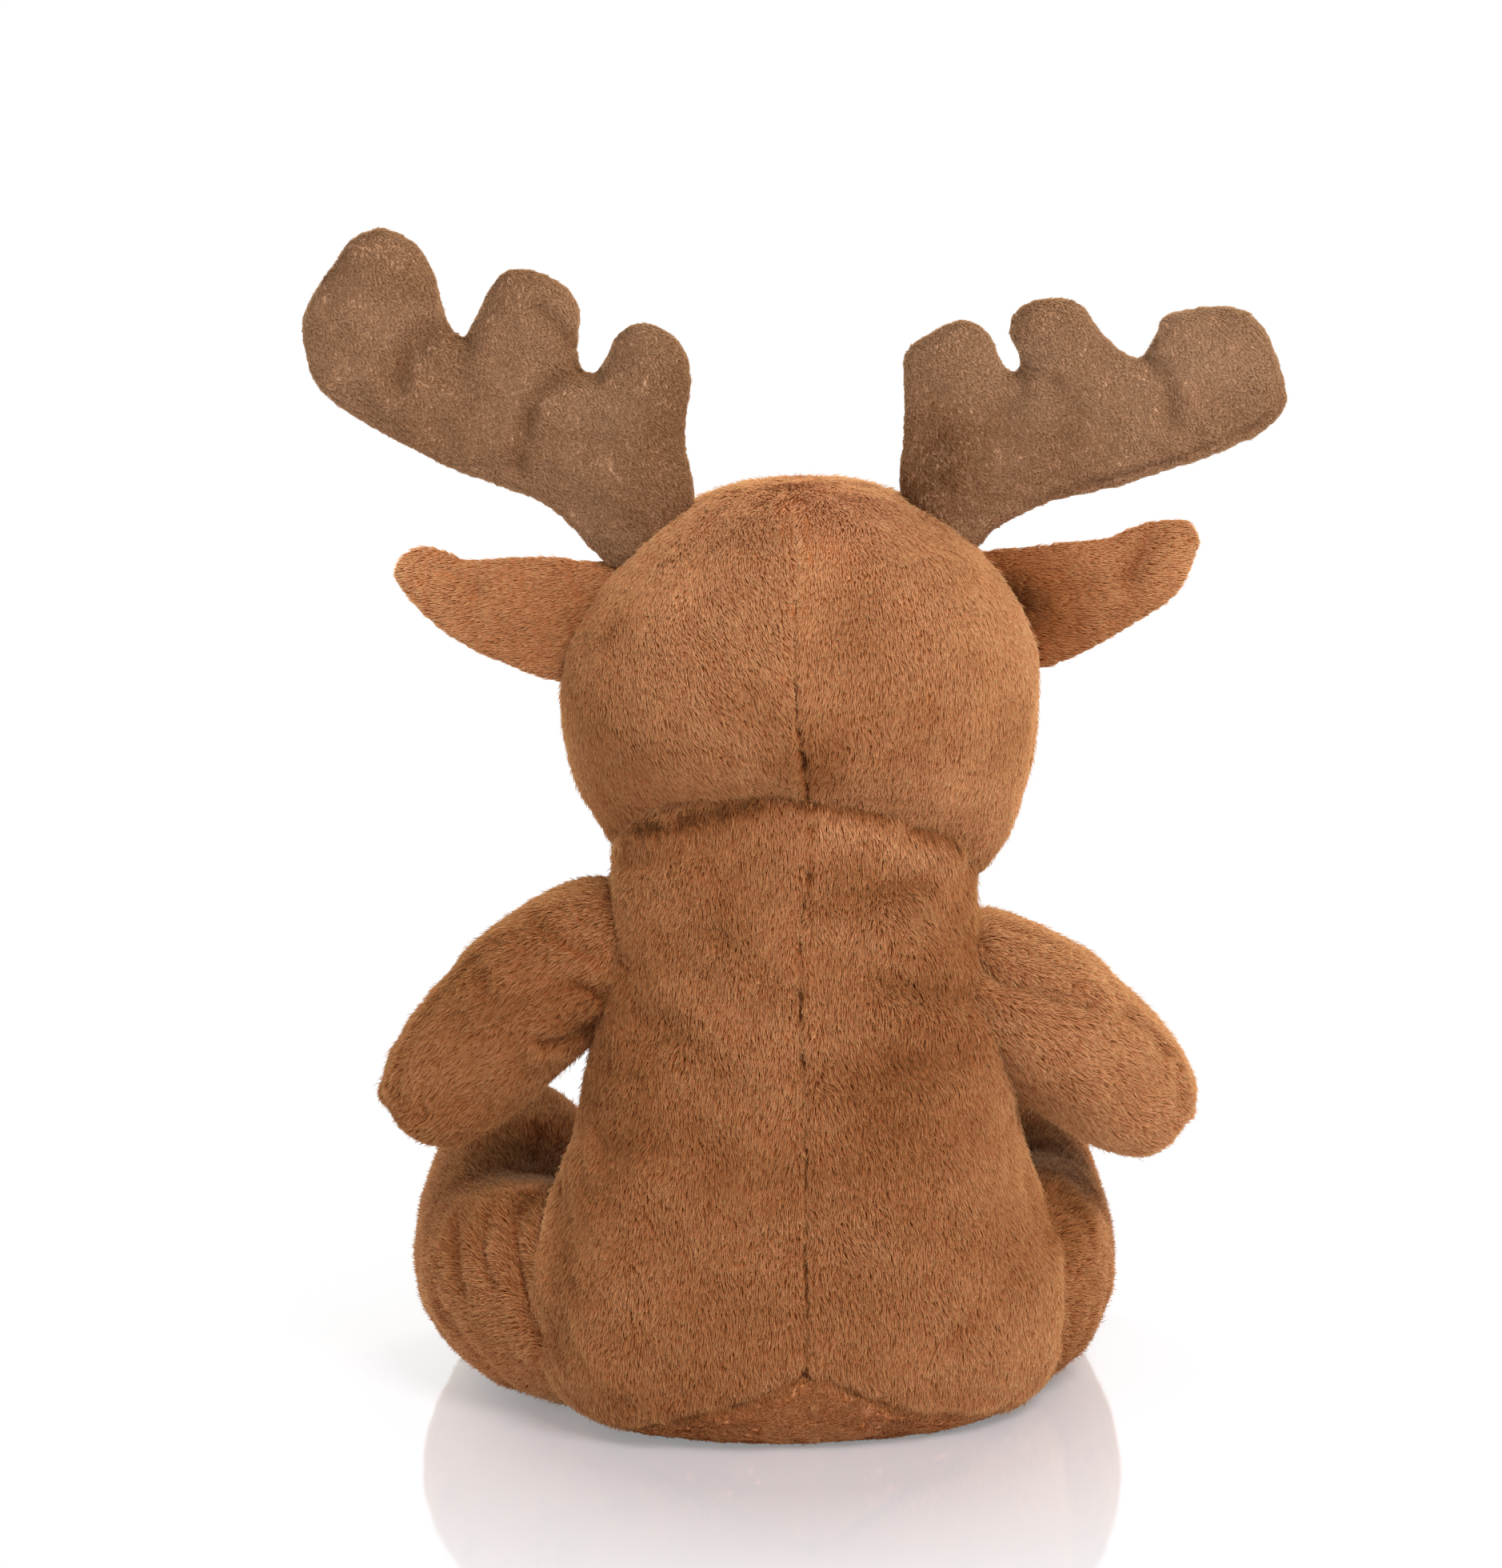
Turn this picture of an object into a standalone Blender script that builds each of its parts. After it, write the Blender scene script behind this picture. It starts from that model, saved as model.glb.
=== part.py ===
"""Sitting plush deer with stuffed antlers, built as it is sewn.

Fabric panels enclose stuffing, with a pellet pouch in the seat and safety eyes
held by washers. Metres, +Z up. The deer faces -Y, its left side is +X, and the
origin is the centre of the flat seat that it stands on.
"""

import math
from collections import namedtuple

import bmesh
import bpy
from mathutils import Matrix, Vector

MM = 0.001

# Fabric and sewing
PLUSH = 2.0 * MM
VELOUR = 1.2 * MM
SEAM_GAP = 0.35 * MM
FIT_GAP = 0.35 * MM
FILLING_FIT = 0.75 * MM

# Torso, from the seat up to the neck ring
TORSO_HEIGHT = 148 * MM
TORSO_HALF_WIDTH = 64 * MM
TORSO_BACK_DEPTH = 46 * MM
TORSO_BELLY_DEPTH = 53 * MM
POUCH_HEIGHT = 20 * MM

# Neck ring and head
NECK_LEAN = math.radians(24)
NECK_HALF_WIDTH = 43 * MM
NECK_BACK_DEPTH = 36 * MM
NECK_FRONT_DEPTH = 34 * MM
HEAD_HEIGHT = 90 * MM
HEAD_HALF_WIDTH = 61.5 * MM
HEAD_BACK_DEPTH = 51 * MM
HEAD_FRONT_DEPTH = 57 * MM

# Muzzle and nose
MUZZLE_DROP = math.radians(14)
MUZZLE_RISE = 30 * MM
MUZZLE_HALF_WIDTH = 30 * MM
MUZZLE_HALF_HEIGHT = 22 * MM
MUZZLE_LENGTH = 30 * MM
MUZZLE_PRESS = 5.5 * MM
NOSE_HALF_WIDTH = 12.5 * MM
NOSE_HALF_HEIGHT = 8.5 * MM
NOSE_DEPTH = 7 * MM

# Safety eyes and their washers
EYE_RADIUS = 6.5 * MM
EYE_DOME = 4.6 * MM
EYE_RISE = 56 * MM
EYE_TURN = math.radians(27)
STEM_RADIUS = 1.6 * MM
EYE_STEM_LENGTH = 9 * MM
WASHER_RADIUS = 4.5 * MM
WASHER_THICKNESS = 1.4 * MM
STEM_FIT = 0.1 * MM
EYE_LIFT = 1.3 * MM
NOSE_LIFT = 2.2 * MM
NOSE_STEM_LENGTH = 11 * MM
EYE_WASHER_FIT = 1.5 * MM
NOSE_WASHER_FIT = 3.4 * MM

# Arms
ARM_BELOW_NECK_LEFT = 26 * MM
ARM_BELOW_NECK_RIGHT = 33 * MM
ARM_DROP_LEFT = math.radians(50)
ARM_DROP_RIGHT = math.radians(40)
ARM_SEAT_SLOPE = math.radians(11)
ARM_LENGTH = 68 * MM
ARM_HALF_WIDTH = 19 * MM
ARM_HALF_DEPTH = 16 * MM
ARM_PRESS = 1.5 * MM
ARM_FORWARD = 16 * MM
ARM_BEND = 30 * MM

# Legs
LEG_SEAT_TURN = math.radians(37)
LEG_SEAT_HEIGHT = 29 * MM
LEG_PRESS = 5 * MM
LEG_BEND_LEFT = 32 * MM
LEG_BEND_RIGHT = 20 * MM
LEG_LENGTH = 76 * MM
LEG_HALF_WIDTH = 26 * MM
LEG_HALF_HEIGHT = 30 * MM
FOOT_CENTRE_HEIGHT = 32.5 * MM
FOOT_OUT_LEFT = 30 * MM
FOOT_OUT_RIGHT = 1 * MM

# Antlers
ANTLER_LENGTH = 97.5 * MM
ANTLER_PUFF = 8.5 * MM
ANTLER_ROOT_WIDTH = 23 * MM
ANTLER_RISE = 78 * MM
ANTLER_LEAN_LEFT = math.radians(35)
ANTLER_LEAN_RIGHT = math.radians(46)

# Ears
EAR_LENGTH = 46 * MM
EAR_WIDTH = 31 * MM
EAR_PUFF = 4.0 * MM
EAR_RISE = 53 * MM
EAR_LEAN_LEFT = math.radians(65)
EAR_LEAN_RIGHT = math.radians(62)

# Counts of sides, steps and rings
TORSO_SIDES = 24
HEAD_SIDES = 24
LIMB_SIDES = 14
SIDE_LINE_STEPS = 10
DOME_STEPS = 5
NOSE_RING = 3

# How the surfaces are worked out
SHARP_ANGLE = math.radians(50)
MERGE_DISTANCE = 0.01 * MM
PATH_STEP_SHARE = 0.01
LEAST_CORNER_SHARE = 0.6

# Height, half width, back depth, belly depth and lean, each of the full value
TORSO_RING_SHARES = [
    (0.0, 0.66, 0.60, 0.60, 0.0),
    (0.035, 0.85, 0.80, 0.80, 0.0),
    (0.11, 0.965, 0.94, 0.93, 0.0),
    (0.23, 1.0, 1.0, 0.99, 0.0),
    (0.37, 0.955, 1.0, 1.0, 0.0),
    (0.54, 0.885, 0.94, 0.95, 0.0),
    (0.71, 0.81, 0.88, 0.86, 0.12),
    (0.87, 0.735, 0.81, 0.74, 0.5),
]
HEAD_RING_SHARES = [
    (0.085, 0.83, 0.83, 0.80, 0.82),
    (0.245, 0.965, 0.96, 0.96, 0.55),
    (0.44, 1.0, 1.0, 1.0, 0.25),
    (0.63, 0.935, 0.94, 0.94, 0.10),
    (0.80, 0.765, 0.78, 0.78, 0.0),
    (0.92, 0.505, 0.53, 0.53, 0.0),
    (0.985, 0.21, 0.22, 0.22, 0.0),
    (1.0, 0.026, 0.03, 0.03, 0.0),
]
# Distance along the limb, half width and half depth, each of the full value
ARM_RING_SHARES = [
    (0.0, 1.10, 1.0),
    (0.28, 1.02, 1.02),
    (0.52, 0.97, 1.0),
    (0.74, 0.96, 0.98),
    (0.90, 0.78, 0.80),
    (0.985, 0.40, 0.42),
    (1.0, 0.20, 0.22),
]
LEG_RING_SHARES = [
    (0.0, 1.0, 0.98),
    (0.25, 1.04, 1.01),
    (0.48, 0.98, 1.02),
    (0.68, 0.90, 1.03),
    (0.87, 0.88, 1.09),
    (1.0, 0.80, 1.04),
]
MUZZLE_RING_SHARES = [
    (0.0, 1.0, 1.0),
    (0.35, 0.96, 0.96),
    (0.65, 0.82, 0.80),
    (0.88, 0.56, 0.54),
    (0.985, 0.22, 0.22),
    (1.0, 0.06, 0.07),
]

# Antler outline from its root edge, across and along, each of the antler's length
ANTLER_OUTLINE_SHARES = [
    (0.14, 0.12), (0.20, 0.30), (0.29, 0.44), (0.38, 0.61), (0.43, 0.77),
    (0.41, 0.88), (0.35, 0.96), (0.24, 1.0), (0.12, 1.01), (0.05, 0.97), (0.025, 0.90),
    (0.06, 0.81), (0.095, 0.73), (0.075, 0.68), (0.03, 0.68), (-0.02, 0.72), (-0.09, 0.745),
    (-0.16, 0.71), (-0.20, 0.64), (-0.20, 0.55), (-0.15, 0.49), (-0.10, 0.43), (-0.12, 0.395),
    (-0.18, 0.42), (-0.25, 0.445), (-0.32, 0.42), (-0.345, 0.35), (-0.32, 0.26), (-0.24, 0.16),
    (-0.15, 0.07),
]
# Ear outline from its root edge, across of its width and along of its length
EAR_OUTLINE_SHARES = [
    (0.48, 0.0), (0.52, 0.20), (0.52, 0.42), (0.50, 0.64), (0.44, 0.84), (0.31, 0.97),
    (0.16, 1.0), (0.02, 0.93), (-0.05, 0.80), (-0.12, 0.62), (-0.26, 0.42), (-0.40, 0.22),
    (-0.48, 0.0),
]
# Inset from the outline and height, each of the puff height
PUFF_SHARES = [(0.22, 0.55), (0.68, 1.0)]
EAR_PUFF_SHARES = [(0.6, 0.62), (1.7, 1.0)]


def rgb(red, green, blue):
    """A screen colour as the linear value that a material holds."""
    def linear(value):
        share = value / 255
        return share / 12.92 if share <= 0.04045 else ((share + 0.055) / 1.055) ** 2.4
    return (linear(red), linear(green), linear(blue), 1.0)


FINISHES = {
    "brown_plush": (rgb(160, 101, 66), 0.95, 0.0),
    "pale_plush": (rgb(206, 172, 134), 0.95, 0.0),
    "taupe_velour": (rgb(142, 106, 82), 0.9, 0.0),
    "seat_plush": (rgb(125, 73, 44), 0.95, 0.0),
    "stuffing": (rgb(236, 234, 228), 1.0, 0.0),
    "pouch_cloth": (rgb(214, 206, 190), 0.95, 0.0),
    "black_plastic": (rgb(14, 12, 12), 0.15, 0.0),
    "washer_plastic": (rgb(225, 225, 222), 0.5, 0.0),
    "nose_plastic": (rgb(46, 30, 24), 0.35, 0.0),
}


def clear_scene():
    """Remove whatever the open file holds."""
    for item in list(bpy.data.objects):
        bpy.data.objects.remove(item, do_unlink=True)


def make_collection(name):
    group = bpy.data.collections.new(name)
    bpy.context.scene.collection.children.link(group)
    return group


def make_material(name, finish):
    colour, roughness, metallic = finish
    material = bpy.data.materials.new(name)
    material.use_nodes = True
    shader = material.node_tree.nodes["Principled BSDF"]
    shader.inputs["Base Color"].default_value = colour
    shader.inputs["Roughness"].default_value = roughness
    shader.inputs["Metallic"].default_value = metallic
    material.diffuse_color = colour
    return material


clear_scene()
DEER = make_collection("plush_deer")
CUTTERS = make_collection("cutters")
MATERIALS = {name: make_material(name, finish) for name, finish in FINISHES.items()}


def make_pivot(name, place, parent=None):
    """An empty on a joint's axis, which carries one moving body."""
    pivot = bpy.data.objects.new(name, None)
    pivot.empty_display_size = PLUSH
    DEER.objects.link(pivot)
    pivot.parent = parent
    pivot.location = place - (parent.matrix_world.translation if parent else Vector())
    bpy.context.view_layer.update()
    return pivot


def add_piece(name, body_mesh, material, pivot):
    """Turn a bmesh in world space into a named object under its pivot."""
    bmesh.ops.recalc_face_normals(body_mesh, faces=body_mesh.faces)
    bmesh.ops.translate(body_mesh, verts=body_mesh.verts, vec=-pivot.matrix_world.translation)
    mesh = bpy.data.meshes.new(name)
    body_mesh.to_mesh(mesh)
    body_mesh.free()
    mesh.shade_smooth()
    mesh.set_sharp_from_angle(angle=SHARP_ANGLE)
    mesh.materials.append(MATERIALS[material])
    piece = bpy.data.objects.new(name, mesh)
    DEER.objects.link(piece)
    piece.parent = pivot
    return piece


def keep_behind(point, seat):
    """Press a point flat against a seat plane that it stands proud of."""
    place, normal = seat
    depth = (point - place).dot(normal)
    return point - normal * depth if depth > 0 else point


def keep_before(point, seat):
    """Hold a point on the outer side of a seat plane."""
    place, normal = seat
    depth = (point - place).dot(normal)
    return point - normal * depth if depth < 0 else point


FLOOR = (Vector((0, 0, 0)), Vector((0, 0, 1)))


def body_ring(centre, half_width, back, front, lean, sides):
    """A leaning oval, rounder behind than in front, from the back round to the left."""
    ring = []
    for step in range(sides):
        angle = 2 * math.pi * step / sides
        depth = back if math.cos(angle) > 0 else front
        across = half_width * math.sin(angle)
        deep = depth * math.cos(angle)
        point = Vector((across, deep * math.cos(lean), deep * math.sin(lean)))
        ring.append(centre + point)
    return ring


def limb_ring(centre, across, up, half_width, half_depth):
    """An oval section of a limb, starting at its side seam."""
    ring = []
    for step in range(LIMB_SIDES):
        angle = 2 * math.pi * step / LIMB_SIDES
        offset = across * (half_width * math.cos(angle)) + up * (half_depth * math.sin(angle))
        ring.append(centre + offset)
    return ring


def ring_normals(rings, first_flat=None, last_flat=None):
    """Outward normals of a loft; at a flat end they lie in that end's plane."""
    count = len(rings[0])
    normals = []
    for row, ring in enumerate(rings):
        below = rings[max(row - 1, 0)]
        above = rings[min(row + 1, len(rings) - 1)]
        centre = sum(ring, Vector()) / count
        row_normals = []
        for step in range(count):
            around = ring[(step + 1) % count] - ring[step - 1]
            along = above[step] - below[step]
            normal = around.cross(along).normalized()
            if normal.dot(ring[step] - centre) < 0:
                normal.negate()
            flat = first_flat if row == 0 else last_flat if row == len(rings) - 1 else None
            if flat is not None:
                normal = (normal - flat * normal.dot(flat)).normalized()
            row_normals.append(normal)
        normals.append(row_normals)
    return normals


def inner_rings(rings, normals, depth, seats=()):
    """The loft drawn in by a depth along its normals, still clear of its seats."""
    drawn = []
    for ring, row_normals in zip(rings, normals):
        row = [point - normal * depth for point, normal in zip(ring, row_normals)]
        for seat in seats:
            row = [keep_before(point, seat) for point in row]
        drawn.append(row)
    return drawn


def closed_loft(rings):
    """A closed solid through a stack of rings, with a flat cap at each end."""
    body = bmesh.new()
    rows = [[body.verts.new(point) for point in ring] for ring in rings]
    count = len(rows[0])
    for lower, upper in zip(rows, rows[1:]):
        for step in range(count):
            after = (step + 1) % count
            body.faces.new((lower[step], lower[after], upper[after], upper[step]))
    body.faces.new(rows[0])
    body.faces.new(rows[-1])
    return body


def face_strip(body, first, second):
    """Quads between two rows of vertices."""
    for step in range(len(first) - 1):
        body.faces.new((first[step], first[step + 1], second[step + 1], second[step]))


def fabric_panel(rings, normals, thickness, first, last, seats=()):
    """The part of a loft from one side line to another, as fabric of real thickness.

    Each side edge is drawn in by half a seam gap, so that its neighbour fits.
    """
    count = len(rings[0])
    steps = [index % count for index in range(first, last + 1)]
    body = bmesh.new()
    outer_rows = []
    inner_rows = []
    for outer, inner in zip(rings, inner_rings(rings, normals, thickness, seats)):
        moves = [Vector() for _ in steps]
        moves[0] = (outer[steps[1]] - outer[steps[0]]).normalized() * (SEAM_GAP / 2)
        moves[-1] = (outer[steps[-2]] - outer[steps[-1]]).normalized() * (SEAM_GAP / 2)
        outer_rows.append([body.verts.new(outer[step] + move) for step, move in zip(steps, moves)])
        inner_rows.append([body.verts.new(inner[step] + move) for step, move in zip(steps, moves)])
    for rows in (outer_rows, inner_rows):
        for lower, upper in zip(rows, rows[1:]):
            face_strip(body, lower, upper)
    for end in (0, -1):
        face_strip(body, outer_rows[end], inner_rows[end])
        face_strip(body, [row[end] for row in outer_rows], [row[end] for row in inner_rows])
    return body


def sew_halves(names, rings, normals, seat, material, pivot):
    """The two panels of a limb, which meet along its side seams."""
    half = LIMB_SIDES // 2
    pieces = []
    for name, first in zip(names, (0, half)):
        panel = fabric_panel(rings, normals, PLUSH, first, first + half, [seat])
        pieces.append(add_piece(name, panel, material, pivot))
    return pieces


def offset_outline(outline, inset):
    """An outline of (across, along) pairs moved inward by a distance."""
    count = len(outline)
    moved = []
    for index in range(count):
        before = Vector(outline[index - 1])
        here = Vector(outline[index])
        after = Vector(outline[(index + 1) % count])
        into = (here - before).normalized()
        away = (after - here).normalized()
        side = Vector((-(into + away).y, (into + away).x)).normalized()
        stretch = max(side.dot(Vector((-away.y, away.x))), LEAST_CORNER_SHARE)
        moved.append(here + side * (inset / stretch))
    return moved


def stacked_outlines(outline, steps, frame):
    """A closed solid through copies of an outline, each with its inset and height."""
    rings = []
    for inset, height in steps:
        loop = offset_outline(outline, inset)
        rings.append([frame @ Vector((point.x, point.y, height)) for point in loop])
    return closed_loft(rings)


def puffed_panel(outline, puff, shares, thickness, frame, side):
    """One face of a stuffed flat shape: outer surface, sewn rim, inner surface."""
    rim = side * SEAM_GAP / 2
    outer = [(inset * puff, rim + side * height * puff) for inset, height in shares]
    inner = [(inset + thickness, height - side * thickness) for inset, height in outer]
    steps = list(reversed(outer)) + [(0, rim), (thickness, rim)] + inner
    return stacked_outlines(outline, steps, frame)


def puffed_filling(outline, puff, shares, thickness, frame):
    """What fills a stuffed flat shape, clear of both its faces."""
    room = thickness + FILLING_FIT
    sides = []
    for inset, height in shares:
        sides.append((inset * puff + room, SEAM_GAP / 2 + height * puff - room))
    steps = list(reversed(sides)) + [(room + FIT_GAP, 0)] + [(inset, -height) for inset, height in sides]
    return stacked_outlines(outline, steps, frame)


def neck_ring(centre, sides):
    """The oval of the neck seam, which the torso and the head share."""
    return body_ring(centre, NECK_HALF_WIDTH, NECK_BACK_DEPTH, NECK_FRONT_DEPTH, NECK_LEAN, sides)


def sew_torso_rings():
    """The torso's outside, from the seat up to the neck seam."""
    rings = []
    for height, width, back, belly, lean in TORSO_RING_SHARES:
        centre = Vector((0, 0, height * TORSO_HEIGHT))
        sizes = (width * TORSO_HALF_WIDTH, back * TORSO_BACK_DEPTH, belly * TORSO_BELLY_DEPTH)
        rings.append(body_ring(centre, *sizes, lean * NECK_LEAN, TORSO_SIDES))
    rings.append(neck_ring(Vector((0, 0, TORSO_HEIGHT)), TORSO_SIDES))
    return rings


def sew_head_rings(base):
    """The head's outside, from the neck seam up to the crown."""
    rings = [neck_ring(base, HEAD_SIDES)]
    for height, width, back, front, lean in HEAD_RING_SHARES:
        centre = base + Vector((0, 0, height * HEAD_HEIGHT))
        sizes = (width * HEAD_HALF_WIDTH, back * HEAD_BACK_DEPTH, front * HEAD_FRONT_DEPTH)
        rings.append(body_ring(centre, *sizes, lean * NECK_LEAN, HEAD_SIDES))
    return rings


def furthest(rings, normal):
    """The point of a loft that reaches furthest in one direction."""
    points = [point for ring in rings for point in ring]
    return max(points, key=lambda point: point.dot(normal))


def side_at_height(rings, height):
    """Half width of the torso at a height, between its nearest rings."""
    quarter = TORSO_SIDES // 4
    sides = [ring[quarter] for ring in rings]
    for lower, upper in zip(sides, sides[1:]):
        if lower.z <= height <= upper.z:
            share = (height - lower.z) / (upper.z - lower.z)
            return lower.lerp(upper, share).x
    return sides[-1].x


NECK_NORMAL = Vector((0, -math.sin(NECK_LEAN), math.cos(NECK_LEAN)))
NECK_PLACE = Vector((0, 0, TORSO_HEIGHT))
HEAD_BASE = NECK_PLACE + NECK_NORMAL * FIT_GAP
torso_rings = sew_torso_rings()
head_rings = sew_head_rings(HEAD_BASE)


def arm_seat(side, below_neck):
    """Where an arm is sewn on: a point of the seat plane and its outward normal."""
    normal = Vector((side * math.cos(ARM_SEAT_SLOPE), 0, math.sin(ARM_SEAT_SLOPE)))
    height = TORSO_HEIGHT - below_neck
    reach = side_at_height(torso_rings, height) - ARM_PRESS
    return (Vector((side * reach, 0, height)), normal)


def leg_seat(side):
    """Where a leg is sewn on, turned half forward at the hip."""
    normal = Vector((side * math.cos(LEG_SEAT_TURN), -math.sin(LEG_SEAT_TURN), 0))
    touch = furthest(torso_rings, normal)
    place = touch - normal * LEG_PRESS
    place.z = LEG_SEAT_HEIGHT
    return (place, normal)


def muzzle_seat():
    """Where the muzzle is sewn on the face, tipped a little down."""
    normal = Vector((0, -math.cos(MUZZLE_DROP), -math.sin(MUZZLE_DROP)))
    touch = furthest(head_rings, normal)
    height = HEAD_BASE.z + MUZZLE_RISE
    across = Vector((0, math.sin(MUZZLE_DROP), -math.cos(MUZZLE_DROP)))
    place = Vector((0, touch.y, touch.z)) - normal * MUZZLE_PRESS
    place += across * ((height - place.z) / across.z)
    return (place, normal)


ARM_SEATS = {"left": arm_seat(1, ARM_BELOW_NECK_LEFT), "right": arm_seat(-1, ARM_BELOW_NECK_RIGHT)}
LEG_SEATS = {"left": leg_seat(1), "right": leg_seat(-1)}
MUZZLE_SEAT = muzzle_seat()


def press_rings(rings, seats):
    """Press a loft flat, one fit gap short of each seat plane."""
    for place, normal in seats:
        flat = (place - normal * FIT_GAP, normal)
        rings = [[keep_behind(point, flat) for point in ring] for ring in rings]
    return rings


torso_rings = press_rings(torso_rings, list(ARM_SEATS.values()) + list(LEG_SEATS.values()))
head_rings = press_rings(head_rings, [MUZZLE_SEAT])


def make_torso(pivot):
    """Two back panels, the belly panel, the seat gusset and what they hold."""
    up = Vector((0, 0, 1))
    normals = ring_normals(torso_rings, up, NECK_NORMAL)
    half = TORSO_SIDES // 2
    quarter = TORSO_SIDES // 4
    panels = {
        "back_panel_left": (0, quarter),
        "belly_panel": (quarter, quarter + half),
        "back_panel_right": (quarter + half, TORSO_SIDES),
    }
    for name, (first, last) in panels.items():
        add_piece(name, fabric_panel(torso_rings, normals, PLUSH, first, last), "brown_plush", pivot)
    inside = inner_rings(torso_rings, normals, PLUSH + SEAM_GAP)
    seat = [[point.copy() for point in inside[0]] for _ in range(2)]
    for point in seat[1]:
        point.z += PLUSH
    add_piece("seat_gusset", closed_loft(seat), "seat_plush", pivot)
    room = inner_rings(torso_rings, normals, PLUSH + FILLING_FIT)
    pouch_floor = PLUSH + FIT_GAP
    pouch_top = pouch_floor + POUCH_HEIGHT
    add_piece("pellet_pouch", closed_loft(cut_rings(room, pouch_floor, pouch_top)), "pouch_cloth", pivot)
    filling = cut_rings(room, pouch_top + FIT_GAP, None)
    add_piece("torso_stuffing", closed_loft(filling), "stuffing", pivot)


def level_ring(rings, height):
    """The ring where a loft crosses a level plane."""
    ring = []
    for step in range(len(rings[0])):
        line = [row[step] for row in rings]
        for lower, upper in zip(line, line[1:]):
            if lower.z <= height < upper.z:
                ring.append(lower.lerp(upper, (height - lower.z) / (upper.z - lower.z)))
                break
    return ring


def cut_rings(rings, floor, top):
    """The rings of a loft between two levels, or from one level up."""
    kept = [level_ring(rings, floor)]
    for ring in rings:
        low = min(point.z for point in ring)
        if low > floor + FIT_GAP and (top is None or low < top - FIT_GAP):
            kept.append(ring)
    if top is not None:
        kept.append(level_ring(rings, top))
    return kept


def head_surface(rise, turn):
    """A point of the head's surface at a height above the neck, turned from the front."""
    count = HEAD_SIDES
    spot = (0.5 + turn / (2 * math.pi)) * count
    step = int(math.floor(spot))
    share = spot - step
    line = [ring[step % count].lerp(ring[(step + 1) % count], share) for ring in head_rings]
    height = HEAD_BASE.z + rise
    for lower, upper in zip(line, line[1:]):
        if lower.z <= height < upper.z:
            along = (upper - lower).normalized()
            place = lower.lerp(upper, (height - lower.z) / (upper.z - lower.z))
            break
    row = [ring for ring in head_rings if ring[step % count].z <= height][-1]
    around = (row[(step + 1) % count] - row[step % count]).normalized()
    normal = around.cross(along).normalized()
    if normal.y > 0:
        normal.negate()
    return place, normal


def turned(name, profile, place, normal, material, pivot, stretch=1.0):
    """A turned piece whose axis points out of the cloth at a place."""
    mesh = bpy.data.meshes.new(name)
    outline = bmesh.new()
    points = [outline.verts.new((radius, 0, height)) for radius, height in profile]
    for first, second in zip(points, points[1:]):
        outline.edges.new((first, second))
    outline.to_mesh(mesh)
    outline.free()
    mesh.materials.append(MATERIALS[material])
    piece = bpy.data.objects.new(name, mesh)
    DEER.objects.link(piece)
    piece.parent = pivot
    across = Vector((0, 0, 1)).cross(normal).normalized()
    over = normal.cross(across)
    turn = Matrix((across, over, normal)).transposed().to_4x4()
    piece.matrix_local = Matrix.Translation(place - pivot.matrix_world.translation) @ turn
    piece.scale = (stretch, 1, 1)
    screw = piece.modifiers.new("turn", "SCREW")
    screw.axis = "Z"
    screw.steps = LIMB_SIDES
    screw.render_steps = LIMB_SIDES
    screw.use_merge_vertices = True
    screw.merge_threshold = MERGE_DISTANCE
    screw.use_smooth_shade = True
    return piece


def make_cutter(name, radius, place, normal, start, end):
    """A round cutter along a normal, from one depth to another."""
    body = bmesh.new()
    bmesh.ops.create_cone(
        body, cap_ends=True, segments=LIMB_SIDES, radius1=radius, radius2=radius, depth=end - start
    )
    mesh = bpy.data.meshes.new(name)
    body.to_mesh(mesh)
    body.free()
    cutter = bpy.data.objects.new(name, mesh)
    CUTTERS.objects.link(cutter)
    middle = place + normal * ((start + end) / 2)
    cutter.matrix_world = Matrix.Translation(middle) @ normal.to_track_quat("Z", "Y").to_matrix().to_4x4()
    cutter.hide_render = True
    cutter.display_type = "WIRE"
    return cutter


def cut_away(piece, cutter):
    """Cut a hole in a piece with a cutter."""
    cut = piece.modifiers.new("fit_" + cutter.name, "BOOLEAN")
    cut.operation = "DIFFERENCE"
    cut.object = cutter


# A stemmed fitting: its dome, how far the dome stands off the cloth, its stretch
# across, its stem, and how far behind the cloth its washer locks
Fitting = namedtuple("Fitting", "radius rise lift stretch stem washer_fit material")
EYE = Fitting(EYE_RADIUS, EYE_DOME, EYE_LIFT, 1, EYE_STEM_LENGTH, EYE_WASHER_FIT, "black_plastic")
NOSE = Fitting(
    NOSE_HALF_HEIGHT, NOSE_DEPTH, NOSE_LIFT, NOSE_HALF_WIDTH / NOSE_HALF_HEIGHT,
    NOSE_STEM_LENGTH, NOSE_WASHER_FIT, "nose_plastic",
)


def dome_profile(radius, rise, base):
    """A low dome from its crown to its rim."""
    arc = []
    for step in range(DOME_STEPS + 1):
        angle = math.pi / 2 * step / DOME_STEPS
        arc.append((radius * math.sin(angle), base + rise * math.cos(angle)))
    return arc


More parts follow.
